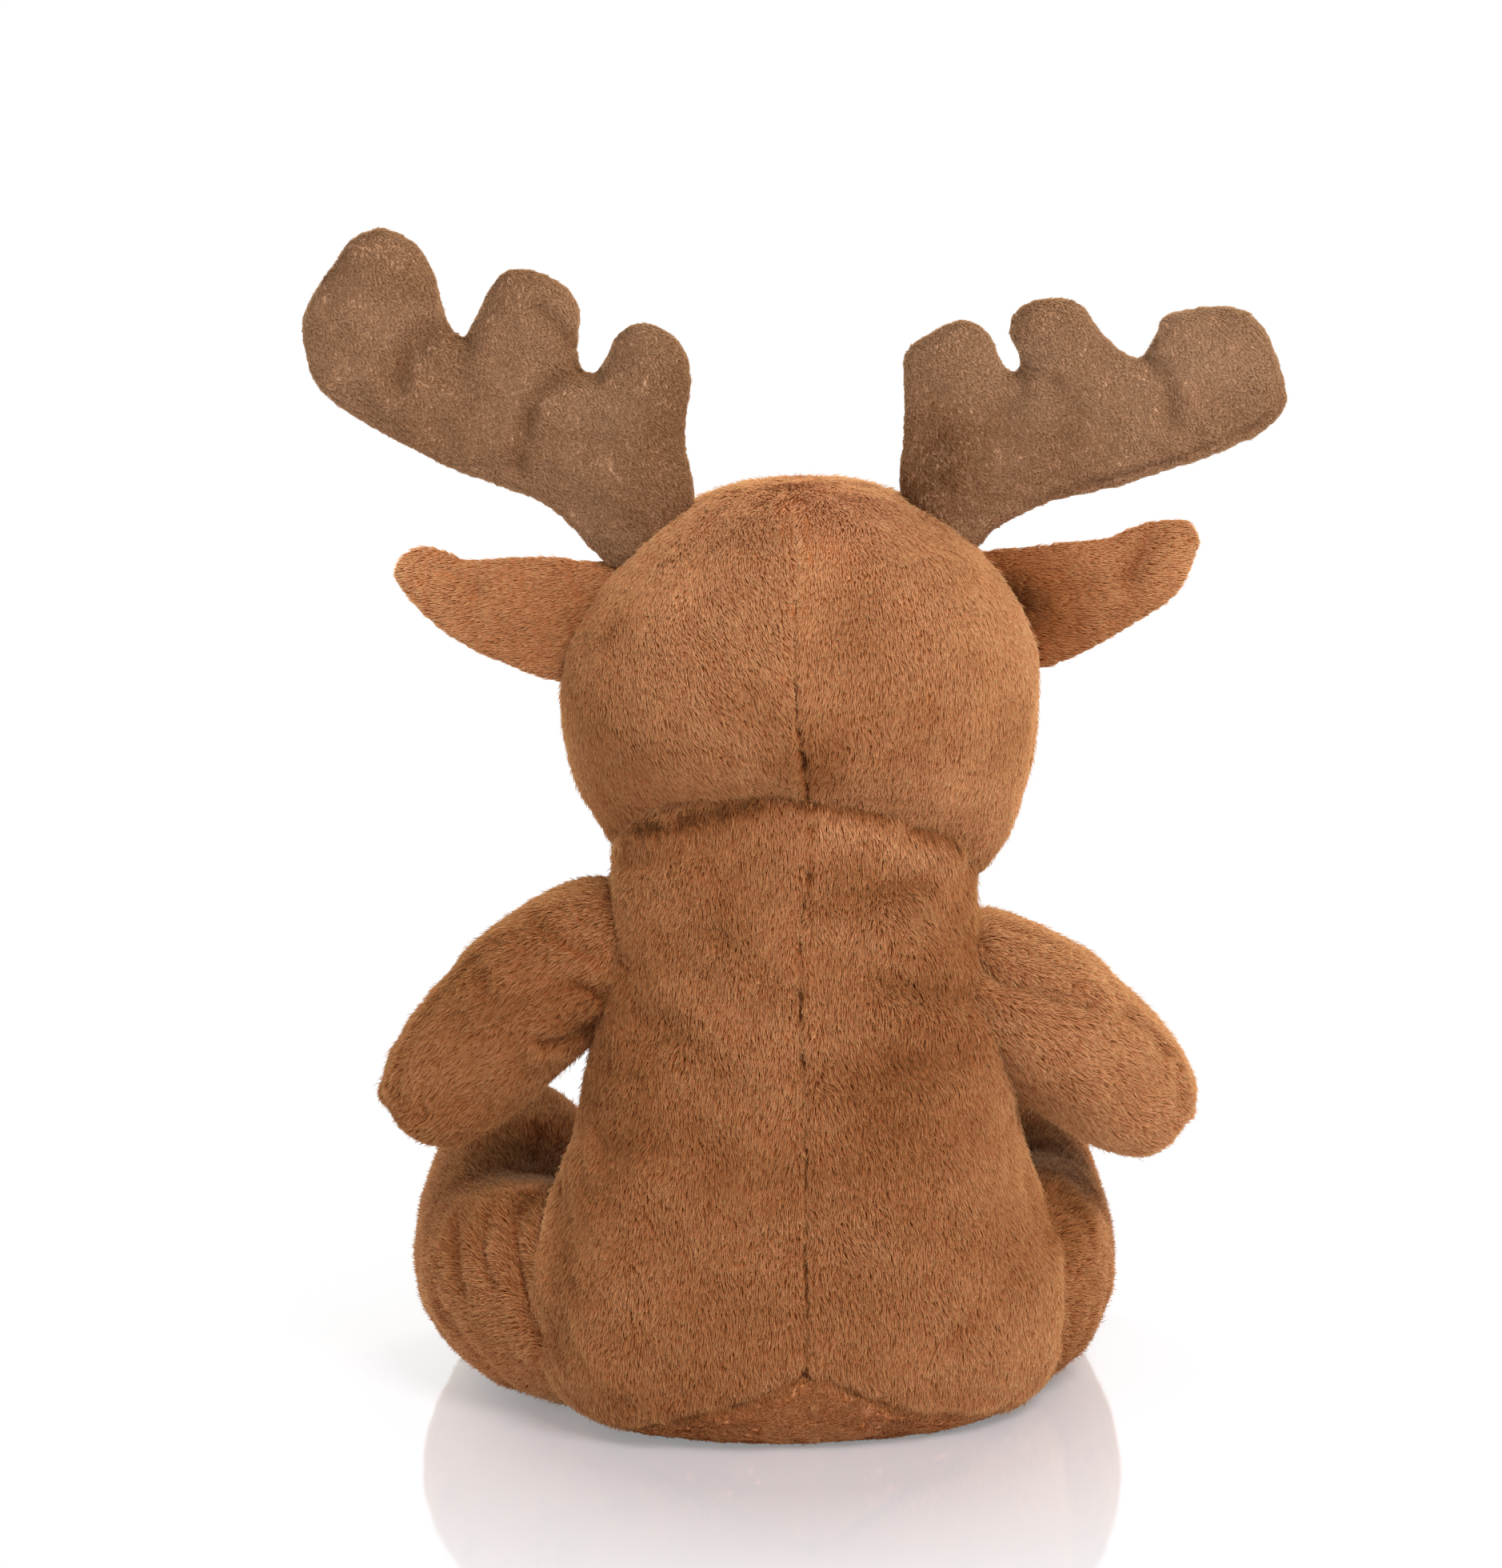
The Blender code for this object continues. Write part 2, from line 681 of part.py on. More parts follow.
def make_fitting(label, size, place, normal, skin, filling, pivot):
    """A stemmed fitting through the cloth, and the washer that locks it behind."""
    stem = [(STEM_RADIUS, size.lift), (STEM_RADIUS, -size.stem), (0, -size.stem)]
    profile = dome_profile(size.radius, size.rise, size.lift) + stem
    turned(label, profile, place, normal, size.material, pivot, size.stretch)
    top = -PLUSH - size.washer_fit
    base = top - WASHER_THICKNESS
    bore = STEM_RADIUS + STEM_FIT
    ring = [(bore, top), (WASHER_RADIUS, top), (WASHER_RADIUS, base), (bore, base), (bore, top)]
    turned(label + "_washer", ring, place, normal, "washer_plastic", pivot, size.stretch)
    hole_radius = STEM_RADIUS * size.stretch + FIT_GAP
    hole = make_cutter(label + "_hole", hole_radius, place, normal, -size.stem, size.stem)
    pocket_radius = WASHER_RADIUS * size.stretch + FIT_GAP
    pocket_end = -size.stem - FIT_GAP
    pocket = make_cutter(label + "_pocket", pocket_radius, place, normal, pocket_end, size.stem)
    cut_away(skin, hole)
    cut_away(filling, pocket)


def make_head(pivot):
    """Two back panels and two face panels over the stuffing, with the eyes."""
    normals = ring_normals(head_rings, NECK_NORMAL, None)
    quarter = HEAD_SIDES // 4
    half = HEAD_SIDES // 2
    panels = {
        "head_back_left": (0, quarter),
        "face_panel_left": (quarter, half),
        "face_panel_right": (half, half + quarter),
        "head_back_right": (half + quarter, HEAD_SIDES),
    }
    skins = {}
    for name, (first, last) in panels.items():
        mesh = fabric_panel(head_rings, normals, PLUSH, first, last)
        skins[name] = add_piece(name, mesh, "brown_plush", pivot)
    inside = closed_loft(inner_rings(head_rings, normals, PLUSH + FILLING_FIT))
    filling = add_piece("head_stuffing", inside, "stuffing", pivot)
    for label, side in (("left", 1), ("right", -1)):
        place, normal = head_surface(EYE_RISE, -side * EYE_TURN)
        make_fitting("eye_" + label, EYE, place, normal, skins["face_panel_" + label], filling, pivot)


def limb_rings(path, shares, half_width, half_depth, seat, up):
    """Rings along a limb's path; the first lies flat in the seat plane."""
    rings = []
    for along, width, depth in shares:
        centre = path(along)
        ahead = (path(along + PATH_STEP_SHARE) - path(along - PATH_STEP_SHARE)).normalized()
        normal = seat[1] if along == 0 else ahead
        across = up.cross(normal).normalized()
        over = normal.cross(across).normalized()
        ring = limb_ring(centre, across, over, width * half_width, depth * half_depth)
        rings.append([keep_before(point, seat) for point in ring])
    return rings


def bent_path(start, first_way, bend, finish):
    """A curve that leaves along one direction and ends at a point."""
    middle = start + first_way * bend

    def at(share):
        return start * (1 - share) ** 2 + middle * (2 * share * (1 - share)) + finish * share ** 2
    return at


def make_arm(label, side, drop, pivot):
    """An arm that hangs out and a little forward from its seat."""
    seat = ARM_SEATS[label]
    reach = Vector((side * math.sin(drop), 0, -math.cos(drop))) * ARM_LENGTH
    finish = seat[0] + reach + Vector((0, -ARM_FORWARD, 0))
    path = bent_path(seat[0], seat[1], ARM_BEND, finish)
    forward = Vector((0, -1, 0))
    rings = limb_rings(path, ARM_RING_SHARES, ARM_HALF_WIDTH, ARM_HALF_DEPTH, seat, forward)
    normals = ring_normals(rings, seat[1], None)
    name = "arm_" + label
    sew_halves((name + "_front", name + "_back"), rings, normals, seat, "brown_plush", pivot)
    filling = inner_rings(rings, normals, PLUSH + FILLING_FIT, [seat])
    add_piece(name + "_stuffing", closed_loft(filling), "stuffing", pivot)


def make_leg(label, side, bend, foot_out, pivot):
    """A leg that lies forward on the floor and ends in a flat sole."""
    seat = LEG_SEATS[label]
    finish = seat[0] + Vector((side * foot_out, -LEG_LENGTH, 0))
    finish.z = FOOT_CENTRE_HEIGHT
    path = bent_path(seat[0], seat[1], bend, finish)
    up = Vector((0, 0, 1))
    rings = limb_rings(path, LEG_RING_SHARES, LEG_HALF_WIDTH, LEG_HALF_HEIGHT, seat, up)
    rings = [[keep_before(point, FLOOR) for point in ring] for ring in rings]
    sole_normal = (path(1) - path(1 - PATH_STEP_SHARE)).normalized()
    normals = ring_normals(rings, seat[1], sole_normal)
    name = "leg_" + label
    sew_halves((name + "_upper", name + "_lower"), rings, normals, seat, "brown_plush", pivot)
    rim = inner_rings(rings, normals, PLUSH + SEAM_GAP, [seat])[-1]
    sole = [rim, [point - sole_normal * VELOUR for point in rim]]
    add_piece(name + "_sole", closed_loft(sole), "taupe_velour", pivot)
    filling = inner_rings(rings, normals, PLUSH + FILLING_FIT, [seat])
    filling[-1] = [point - sole_normal * (VELOUR + FIT_GAP) for point in filling[-1]]
    add_piece(name + "_stuffing", closed_loft(filling), "stuffing", pivot)


def make_muzzle(pivot):
    """A blunt muzzle in an upper and a chin panel, with the nose on its upper edge."""
    place, normal = MUZZLE_SEAT

    def path(share):
        return place + normal * (MUZZLE_LENGTH * share)
    up = Vector((0, 0, 1))
    rings = limb_rings(path, MUZZLE_RING_SHARES, MUZZLE_HALF_WIDTH, MUZZLE_HALF_HEIGHT, MUZZLE_SEAT, up)
    normals = ring_normals(rings, normal, None)
    names = ("muzzle_upper", "muzzle_chin")
    upper, _ = sew_halves(names, rings, normals, MUZZLE_SEAT, "pale_plush", pivot)
    inside = closed_loft(inner_rings(rings, normals, PLUSH + FILLING_FIT, [MUZZLE_SEAT]))
    filling = add_piece("muzzle_stuffing", inside, "stuffing", pivot)
    top = LIMB_SIDES // 4
    row = rings[NOSE_RING]
    row_normals = normals[NOSE_RING]
    nose_place = (row[top] + row[top + 1]) / 2
    nose_normal = (row_normals[top] + row_normals[top + 1]).normalized()
    make_fitting("nose", NOSE, nose_place, nose_normal, upper, filling, pivot)


def root_frame(side, rise, lean, root_width):
    """Frame of a flat piece sewn on the head: across, along and thickness.

    Its root edge stands on the head's side line, just clear of the bulge under it.
    Its thickness axis points forward on the left side and back on the right.
    """
    along = Vector((side * math.sin(lean), 0, math.cos(lean)))
    across = Vector((side * math.cos(lean), 0, -math.sin(lean)))
    thick = across.cross(along)
    quarter = HEAD_SIDES // 4
    corners = [Vector((side * ring[quarter].x, 0, ring[quarter].z)) for ring in head_rings]
    line = []
    for lower, upper in zip(corners, corners[1:]):
        line += [lower.lerp(upper, step / SIDE_LINE_STEPS) for step in range(SIDE_LINE_STEPS + 1)]
    place = min(line, key=lambda point: abs(point.z - HEAD_BASE.z - rise))
    under = [point for point in line if abs((point - place).dot(across)) < root_width / 2]
    standoff = max((point - place).dot(along) for point in under) + FIT_GAP
    frame = Matrix((across, along, thick)).transposed().to_4x4()
    frame.translation = place + along * standoff
    return frame


def make_antler(label, side, frame, pivot):
    """A stuffed antler with three tines, in two faces sewn round its outline."""
    outline = [(across * ANTLER_LENGTH, along * ANTLER_LENGTH) for across, along in ANTLER_OUTLINE_SHARES]
    outline = [(ANTLER_ROOT_WIDTH / 2, 0)] + outline + [(-ANTLER_ROOT_WIDTH / 2, 0)]
    name = "antler_" + label
    for face, side in (("front", side), ("back", -side)):
        mesh = puffed_panel(outline, ANTLER_PUFF, PUFF_SHARES, VELOUR, frame, side)
        add_piece(name + "_" + face, mesh, "taupe_velour", pivot)
    filling = puffed_filling(outline, ANTLER_PUFF, PUFF_SHARES, VELOUR, frame)
    add_piece(name + "_stuffing", filling, "stuffing", pivot)


def make_ear(label, side, frame, pivot):
    """A thin ear: plush behind, velour lining in front."""
    outline = [(across * EAR_WIDTH, along * EAR_LENGTH) for across, along in EAR_OUTLINE_SHARES]
    name = "ear_" + label
    back = puffed_panel(outline, EAR_PUFF, EAR_PUFF_SHARES, PLUSH, frame, -side)
    add_piece(name + "_back", back, "brown_plush", pivot)
    lining = puffed_panel(outline, EAR_PUFF, EAR_PUFF_SHARES, VELOUR, frame, side)
    add_piece(name + "_lining", lining, "taupe_velour", pivot)


def main():
    """Sew the deer together, each moving body under the empty on its joint's axis."""
    torso_pivot = make_pivot("torso_body", Vector((0, 0, 0)))
    head_pivot = make_pivot("head_body", HEAD_BASE, torso_pivot)
    make_torso(torso_pivot)
    make_head(head_pivot)
    make_muzzle(head_pivot)
    arm_drops = {"left": ARM_DROP_LEFT, "right": ARM_DROP_RIGHT}
    leg_bends = {"left": LEG_BEND_LEFT, "right": LEG_BEND_RIGHT}
    foot_outs = {"left": FOOT_OUT_LEFT, "right": FOOT_OUT_RIGHT}
    antler_leans = {"left": ANTLER_LEAN_LEFT, "right": ANTLER_LEAN_RIGHT}
    ear_leans = {"left": EAR_LEAN_LEFT, "right": EAR_LEAN_RIGHT}
    for label, side in (("left", 1), ("right", -1)):
        arm_pivot = make_pivot("arm_body_" + label, ARM_SEATS[label][0], torso_pivot)
        make_arm(label, side, arm_drops[label], arm_pivot)
        leg_pivot = make_pivot("leg_body_" + label, LEG_SEATS[label][0], torso_pivot)
        make_leg(label, side, leg_bends[label], foot_outs[label], leg_pivot)
        antler_frame = root_frame(side, ANTLER_RISE, antler_leans[label], ANTLER_ROOT_WIDTH)
        antler_pivot = make_pivot("antler_body_" + label, antler_frame.translation, head_pivot)
        make_antler(label, side, antler_frame, antler_pivot)
        ear_frame = root_frame(side, EAR_RISE, ear_leans[label], EAR_WIDTH)
        ear_pivot = make_pivot("ear_body_" + label, ear_frame.translation, head_pivot)
        make_ear(label, side, ear_frame, ear_pivot)


main()
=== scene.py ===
"""Sitting plush deer with stuffed antlers: fur, velour, seams and folds over its frame.

Metres, +Z up. The deer faces -Y and its left side is +X. It is seen from behind.
"""
import math

import bmesh
import bpy
import numpy as np
from mathutils import Matrix, Vector, kdtree, noise
from mathutils.bvhtree import BVHTree
from mathutils.geometry import delaunay_2d_cdt


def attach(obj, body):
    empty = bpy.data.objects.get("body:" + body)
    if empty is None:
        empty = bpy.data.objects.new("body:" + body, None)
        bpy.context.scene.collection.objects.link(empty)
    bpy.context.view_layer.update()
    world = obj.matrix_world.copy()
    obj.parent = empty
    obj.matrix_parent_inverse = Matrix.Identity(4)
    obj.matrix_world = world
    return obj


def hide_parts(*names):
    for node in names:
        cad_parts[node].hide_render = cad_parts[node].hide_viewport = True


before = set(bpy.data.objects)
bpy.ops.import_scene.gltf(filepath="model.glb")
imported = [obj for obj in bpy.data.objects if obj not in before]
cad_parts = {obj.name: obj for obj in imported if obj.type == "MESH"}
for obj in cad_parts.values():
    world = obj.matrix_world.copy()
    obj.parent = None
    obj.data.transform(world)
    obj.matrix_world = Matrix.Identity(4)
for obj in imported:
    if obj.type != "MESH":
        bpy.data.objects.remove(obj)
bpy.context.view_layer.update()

MM = 0.001
SEED = 7
# They keep a division away from zero
TINY = 1e-12
SMALL = 1e-9

# The photograph is 1878 by 1960 pixels, taken with a long lens from behind
PHOTO_HEIGHT = 1960
FOCAL_PIXELS = 7000
CAMERA_DISTANCE = 1400 * MM
CAMERA_ELEVATION = math.radians(10)
CAMERA_ROLL = math.radians(2)
SENSOR_WIDTH = 36
CAMERA_TARGET = Vector((10.3 * MM, 0, 162 * MM))


# Colours

def rgb(red, green, blue):
    """A screen colour as the linear value that a shader takes."""
    def linear(value):
        share = value / 255
        return share / 12.92 if share <= 0.04045 else ((share + 0.055) / 1.055) ** 2.4
    return (linear(red), linear(green), linear(blue), 1.0)


# Along a strand of the pile, from its root to its end; the pale yellow end of the brown and the taupe pile is
# a painted rim light, for the back light through its tips
BROWN = [rgb(146, 86, 46), rgb(200, 130, 78), rgb(238, 178, 132), rgb(238, 216, 152)]
TAUPE = [rgb(112, 80, 57), rgb(164, 124, 94), rgb(208, 166, 130), rgb(226, 194, 146)]
PALE = [rgb(186, 150, 112), rgb(222, 190, 152), rgb(246, 224, 194), rgb(252, 238, 214)]
SEAM = [rgb(84, 46, 26), rgb(112, 66, 38), rgb(138, 84, 50)]
STRAND_STOPS = [0.0, 0.45, 0.82, 1.0]
CLOTH_STOPS = [0.45, 0.75, 1.0]
# What a tuft's tint does to its colour, from dark to pale, and the tint that hardly changes it; the darkest
# stop is there for painted shade
TINTS = [(0.24, 0.16, 0.10, 1), (0.6, 0.44, 0.31, 1), (0.96, 0.94, 0.92, 1), (1.26, 1.34, 1.5, 1)]
EVEN_TINT = 0.6
TINT_STOPS = [0.0, 0.2, EVEN_TINT, 1.0]
# The light that comes through a strand is tinted towards this
GLOW = (0.5, 0.4, 0.22, 1)
WHITE = (1, 1, 1, 1)


# Curves and lofts

def smooth_rows(rows, count):
    """Rows of numbers read from a smooth curve through them, evenly by row."""
    rows = np.array(rows, float)
    spots = np.linspace(0, len(rows) - 1, count)
    first = np.clip(np.floor(spots).astype(int), 0, len(rows) - 2)
    share = (spots - first)[:, None]
    before = rows[np.clip(first - 1, 0, None)]
    here = rows[first]
    after = rows[first + 1]
    beyond = rows[np.clip(first + 2, None, len(rows) - 1)]
    return 0.5 * (
        2 * here + (after - before) * share
        + (2 * before - 5 * here + 4 * after - beyond) * share ** 2
        + (3 * here - before - 3 * after + beyond) * share ** 3
    )


def add_object(name, data):
    """A new object in the scene."""
    thing = bpy.data.objects.new(name, data)
    bpy.context.scene.collection.objects.link(thing)
    return thing


def mesh_object(name, points, faces):
    mesh = bpy.data.meshes.new(name)
    mesh.from_pydata([tuple(point) for point in points], [], [tuple(face) for face in faces])
    mesh.validate()
    mesh.shade_smooth()
    return add_object(name, mesh)


def loft(name, rings):
    """A closed skin through rings of points, with a point at each end."""
    rings = np.array(rings)
    rows, count = rings.shape[:2]
    points = list(rings.reshape(-1, 3)) + [rings[0].mean(0), rings[-1].mean(0)]
    faces = []
    for row in range(rows - 1):
        for step in range(count):
            after = (step + 1) % count
            low, high = row * count, (row + 1) * count
            faces.append((low + step, low + after, high + after, high + step))
    for step in range(count):
        after = (step + 1) % count
        faces.append((after, step, rows * count))
        faces.append(((rows - 1) * count + step, (rows - 1) * count + after, rows * count + 1))
    return mesh_object(name, points, faces)


def edit_mesh(thing, change):
    """Change the mesh of a piece with a function that takes it as a bmesh."""
    body = bmesh.new()
    body.from_mesh(thing.data)
    change(body)
    body.to_mesh(thing.data)
    body.free()


def outward(thing):
    """Turn the faces outward, and return the object."""
    edit_mesh(thing, lambda body: bmesh.ops.recalc_face_normals(body, faces=body.faces))
    return thing


# In front, a skin's rows lean by this share of their lean behind
FRONT_LEAN_SHARE = 0.72


def upright_rings(rows, around, along):
    """Ovals from rows of height, left, right, back and front reach, lean and roll."""
    fine = smooth_rows(rows, along)
    angles = np.linspace(0, 2 * math.pi, around, endpoint=False)
    rings = []
    for height, left, right, back, front, lean, roll in fine:
        across = (left + right) / 2 + (left - right) / 2 * np.sin(angles)
        deep = np.where(np.cos(angles) > 0, back, front) * np.cos(angles)
        tilt = np.where(deep > 0, lean, lean * FRONT_LEAN_SHARE)
        rings.append(np.stack([across, deep, height + deep * tilt + across * roll], axis=1))
    return np.array(rings) * MM


def tube_rings(rows, around, along, up):
    """Ovals across a limb from rows of centre, half width and half height."""
    fine = smooth_rows(rows, along)
    centres = fine[:, :3]
    ways = np.gradient(centres, axis=0)
    ways /= np.linalg.norm(ways, axis=1)[:, None]
    rings = []
    for centre, way, (half_width, half_height) in zip(centres, ways, fine[:, 3:5]):
        across = np.cross(up, way)
        across /= np.linalg.norm(across)
        over = np.cross(way, across)
        angles = np.linspace(0, 2 * math.pi, around, endpoint=False)[:, None]
        rings.append(centre + across * half_width * np.cos(angles) + over * half_height * np.sin(angles))
    return np.array(rings) * MM


# Skins of the stuffed pieces: height, left, right, back and front reach, lean and roll
TORSO_ROWS = [
    (0.6, 30, -30, 22, 24, 0, 0), (0.8, 47, -45, 31, 38, 0, 0), (3.5, 57.5, -54, 38, 45, 0, 0),
    (10, 64.5, -60, 43.5, 49.5, 0, 0), (22, 68.5, -63.5, 47.2, 51.5, 0, 0),
    (38, 69, -63.5, 48.5, 52.5, 0, 0), (56, 63.5, -58, 47, 52, 0, 0), (74, 57, -53, 45.5, 50, 0.02, 0),
    (92, 52.5, -51, 44, 48, 0.08, 0), (108, 49, -48, 42.5, 45, 0.2, 0.01),
    (122, 47, -46, 41, 41.5, 0.34, 0.04), (135, 45, -44, 39, 37.5, 0.5, 0.08),
    (145, 42.5, -43.5, 37, 34.5, 0.6, 0.1), (151, 37, -38, 31, 30, 0.62, 0.1),
    (154, 25, -26, 21, 20, 0.62, 0.1), (155, 10, -11, 8, 8, 0.62, 0.1),
]
HEAD_ROWS = [
    (138.5, 16, -20, 14, 14, 0.62, 0.1), (139.5, 34, -37, 29, 28, 0.62, 0.1),
    (143, 41, -44.5, 37, 37, 0.6, 0.09), (151, 47.8, -52.5, 43.5, 45.5, 0.46, 0.07),
    (162, 52.8, -57.6, 48, 51.5, 0.3, 0.04), (175, 55.2, -60.6, 50.5, 55, 0.15, 0.02),
    (188, 55.6, -61.6, 51, 56, 0.06, 0), (200, 52.5, -59.3, 49.5, 54, 0.02, 0),
    (211, 46.5, -53.5, 45, 49, 0, 0), (221, 37.5, -45.5, 38, 41.5, 0, 0), (229, 27, -35, 29, 31.5, 0, 0),
    (234.8, 16, -22.5, 18.5, 20, 0, 0), (237.3, 5, -9, 7, 8, 0, 0),
]
# Limbs: centre, half width and half height
ARM_ROWS = {
    "left": [
        (38, -2, 126, 8, 9), (41, -2, 125, 14, 16), (46, -2, 122.5, 17, 18.5),
        (56, -3, 117.5, 17.5, 17.8), (67, -5, 109.5, 18, 19), (76, -7.5, 100.5, 17.5, 18.6),
        (84.5, -10.5, 91.5, 16.5, 17.4), (91.5, -13, 83.8, 14.5, 15.4), (96.4, -14.5, 78.4, 11, 12),
        (98.8, -15.2, 75.8, 5.5, 6.5),
    ],
    "right": [
        (-38, -2, 113.5, 8, 9), (-41, -2, 112.5, 14, 17), (-45, -2, 110.5, 17, 20),
        (-53.5, -3, 104.8, 18, 20.8), (-62, -5, 98, 18.5, 21.6), (-71, -7.5, 89.8, 18, 21.2),
        (-80, -10.5, 81, 16.5, 18.8), (-86, -13, 75, 14.5, 16), (-90.4, -14.5, 70.5, 11.5, 12.5),
        (-92.8, -15.2, 68.2, 6, 7),
    ],
}
LEG_ROWS = {
    "left": [
        (40, 6, 26, 8, 8), (43, 3, 27, 17, 19), (49, -3, 28.5, 23, 25.5), (59, -14, 30, 27, 28.5),
        (69, -29, 30, 28, 28.5), (75, -45, 29, 26, 27.5), (77, -63, 30.5, 24.5, 29),
        (76.5, -80, 32.5, 23.8, 31.8), (76, -92, 33, 22.6, 32.3), (76, -98, 33, 20.5, 30),
        (76, -99.5, 33, 17, 25),
    ],
    "right": [
        (-36, 7, 26, 8, 8), (-39, 4, 27, 17, 19), (-44, -2, 28.5, 22, 25.5), (-50.5, -13, 30, 23.8, 28),
        (-54.5, -29, 30, 23.8, 28), (-56, -45, 29, 23, 27), (-56, -63, 30.5, 22.6, 28.5),
        (-55.5, -80, 32, 22, 31.2), (-55.5, -92, 32.5, 21, 31.8), (-55.5, -98, 32.5, 19, 29.5),
        (-55.5, -99.5, 32.5, 16, 24.5),
    ],
}
MUZZLE_ROWS = [
    (0, -38, 180, 20, 16), (0, -44, 179.5, 27, 20.5), (0, -52, 179, 29.5, 22), (0, -62, 178.5, 29, 22),
    (0, -71, 179, 26, 20), (0, -78, 180, 20, 16), (0, -82, 181, 12.5, 10.5), (0, -83.5, 181.5, 6, 5),
]
# How far apart rows of even triangles lie, as a share of their side
ROW_SHARE = math.sqrt(3) / 2
# How far in from its rim a flat bag reaches its full thickness, in mm
PUFF_REACH = 15
# A point of a flat bag this close to its rim, in mm, is sewn
ON_RIM = 0.01
# The points inside a flat bag keep this share of their spacing from its rim
RIM_CLEAR_SHARE = 0.6
# How many steps an outline takes from one of its points to the next
OUTLINE_STEPS = 16
# Outlines of the flat stuffed pieces, across and up, seen from behind
ANTLER_OUTLINES = {
    "left": [
        (43.2, 218.4), (57.8, 233.4), (84, 245.4), (112, 263.6), (116, 272.6), (116.3, 282.6),
        (109.1, 294.5), (103.1, 301.6), (95.7, 303.4), (87.2, 298.6), (83.6, 291), (82, 282.9),
        (77.6, 276.4), (74.4, 280.7), (70, 288.6), (65.2, 292.3), (55.5, 290.3), (48.9, 283.6),
        (49.2, 269.4), (46, 266.2), (42.6, 269.2), (39.2, 275.6), (32.9, 278.2), (23.3, 272),
        (21.8, 265.2), (23.8, 248.4), (22.1, 232), (34, 216),
    ],
    "right": [
        (-46.7, 218), (-52.1, 223.9), (-65.1, 230), (-85.1, 234.3), (-110.9, 242.4), (-120.4, 247),
        (-124.8, 252.2), (-124.5, 259.1), (-120.6, 270.3), (-116.4, 275.4), (-110.5, 277), (-95.6, 275.3),
        (-93.2, 270.5), (-89, 265.4), (-83.7, 268), (-78.8, 273.9), (-74.6, 279.2), (-69, 280.8),
        (-59.8, 278.6), (-57.4, 273.6), (-59.8, 265.4), (-58, 262.9), (-55.6, 265.2), (-52.5, 271.6),
        (-49.3, 275), (-45, 276), (-37, 272.8), (-31.6, 269), (-31, 264.4), (-30.7, 250), (-29.2, 236),
        (-31, 226), (-40, 214),
    ],
}
EAR_OUTLINES = {
    "left": [
        (37, 217), (51.2, 219.8), (65.2, 221.2), (79.2, 221), (84.2, 223.2), (89.6, 224.4), (93.8, 223),
        (96.2, 219.8), (96, 216.4), (88.6, 206.8), (80.2, 200.2), (71, 195.2), (58.3, 190.2), (47, 188.6),
        (38, 204),
    ],
    "right": [
        (-38, 216.5), (-53.9, 218.8), (-73.8, 220.2), (-80.9, 221), (-90.3, 224.2), (-100.2, 224),
        (-102.6, 218.9), (-100.6, 213.8), (-98.4, 209.2), (-95, 205), (-87, 200), (-74.1, 192.9),
        (-64, 189.3), (-52, 188.6), (-42, 203),
    ],
}
# Folds that run into the antlers from the notches between their tines: line, depth and width
ANTLER_CREASES = {
    "left": [
        ([(77.6, 276.8), (83.7, 278), (88.3, 276.6), (91.8, 273.2), (93.9, 267)], 2.6, 2.8),
        ([(46, 266.6), (53, 266), (57.9, 263.2), (61.4, 259), (64.1, 250), (65, 245)], 2.0, 2.2),
        ([(58.5, 283), (54.3, 278.9), (51.4, 274), (48.6, 268.6)], 1.8, 2.2),
        ([(77.6, 276.4), (78.6, 268), (77, 259)], 0.9, 2.4),
    ],
    "right": [
        ([(-89, 265.6), (-93.6, 262.4), (-95.4, 258), (-95.6, 251)], 1.9, 2.4),
        ([(-69.8, 258.2), (-70, 251.7), (-69.1, 244)], 1.1, 3.2),
        ([(-58, 263), (-62.6, 263.4), (-67, 261)], 1.4, 2.2),
        ([(-58, 263), (-55, 256.5), (-53.5, 250)], 1.3, 2.8),
        ([(-60, 230.6), (-75.3, 235), (-97.4, 241), (-112, 246), (-120, 251)], 0.9, 1.0),
    ],
}
EAR_CREASES = {
    "left": [([(93, 222), (86, 219), (77, 214)], 1.6, 3.0)],
    "right": [
        ([(-89, 223), (-87, 217), (-84, 211)], 1.6, 3.0), ([(-66, 214), (-72, 211), (-80, 211)], 0.8, 3.5),
    ],
}


def cut_loop(points, spacing):
    """A closed outline read evenly from a smooth curve through its points."""
    points = np.array(points, float)
    before, after, beyond = (np.roll(points, shift, axis=0) for shift in (1, -1, -2))
    pairs = ((before, points), (points, after), (after, beyond))
    first, here, last = (np.sqrt(np.linalg.norm(end - start, axis=1))[:, None] for start, end in pairs)
    leave = ((points - before) / first - (after - before) / (first + here) + (after - points) / here) * here
    arrive = ((after - points) / here - (beyond - points) / (here + last) + (beyond - after) / last) * here
    share = np.linspace(0, 1, OUTLINE_STEPS, endpoint=False)[:, None, None]
    bend = 3 * (after - points) - 2 * leave - arrive
    curve = points + share * leave + share ** 2 * bend + share ** 3 * (leave + arrive - 2 * (after - points))
    fine = curve.transpose(1, 0, 2).reshape(-1, 2)
    ring = np.vstack([fine, fine[:1]])
    length = np.concatenate([[0], np.cumsum(np.linalg.norm(np.diff(ring, axis=0), axis=1))])
    spots = np.linspace(0, length[-1], int(round(length[-1] / spacing)), endpoint=False)
    return np.stack([np.interp(spots, length, ring[:, axis]) for axis in range(2)], axis=1)


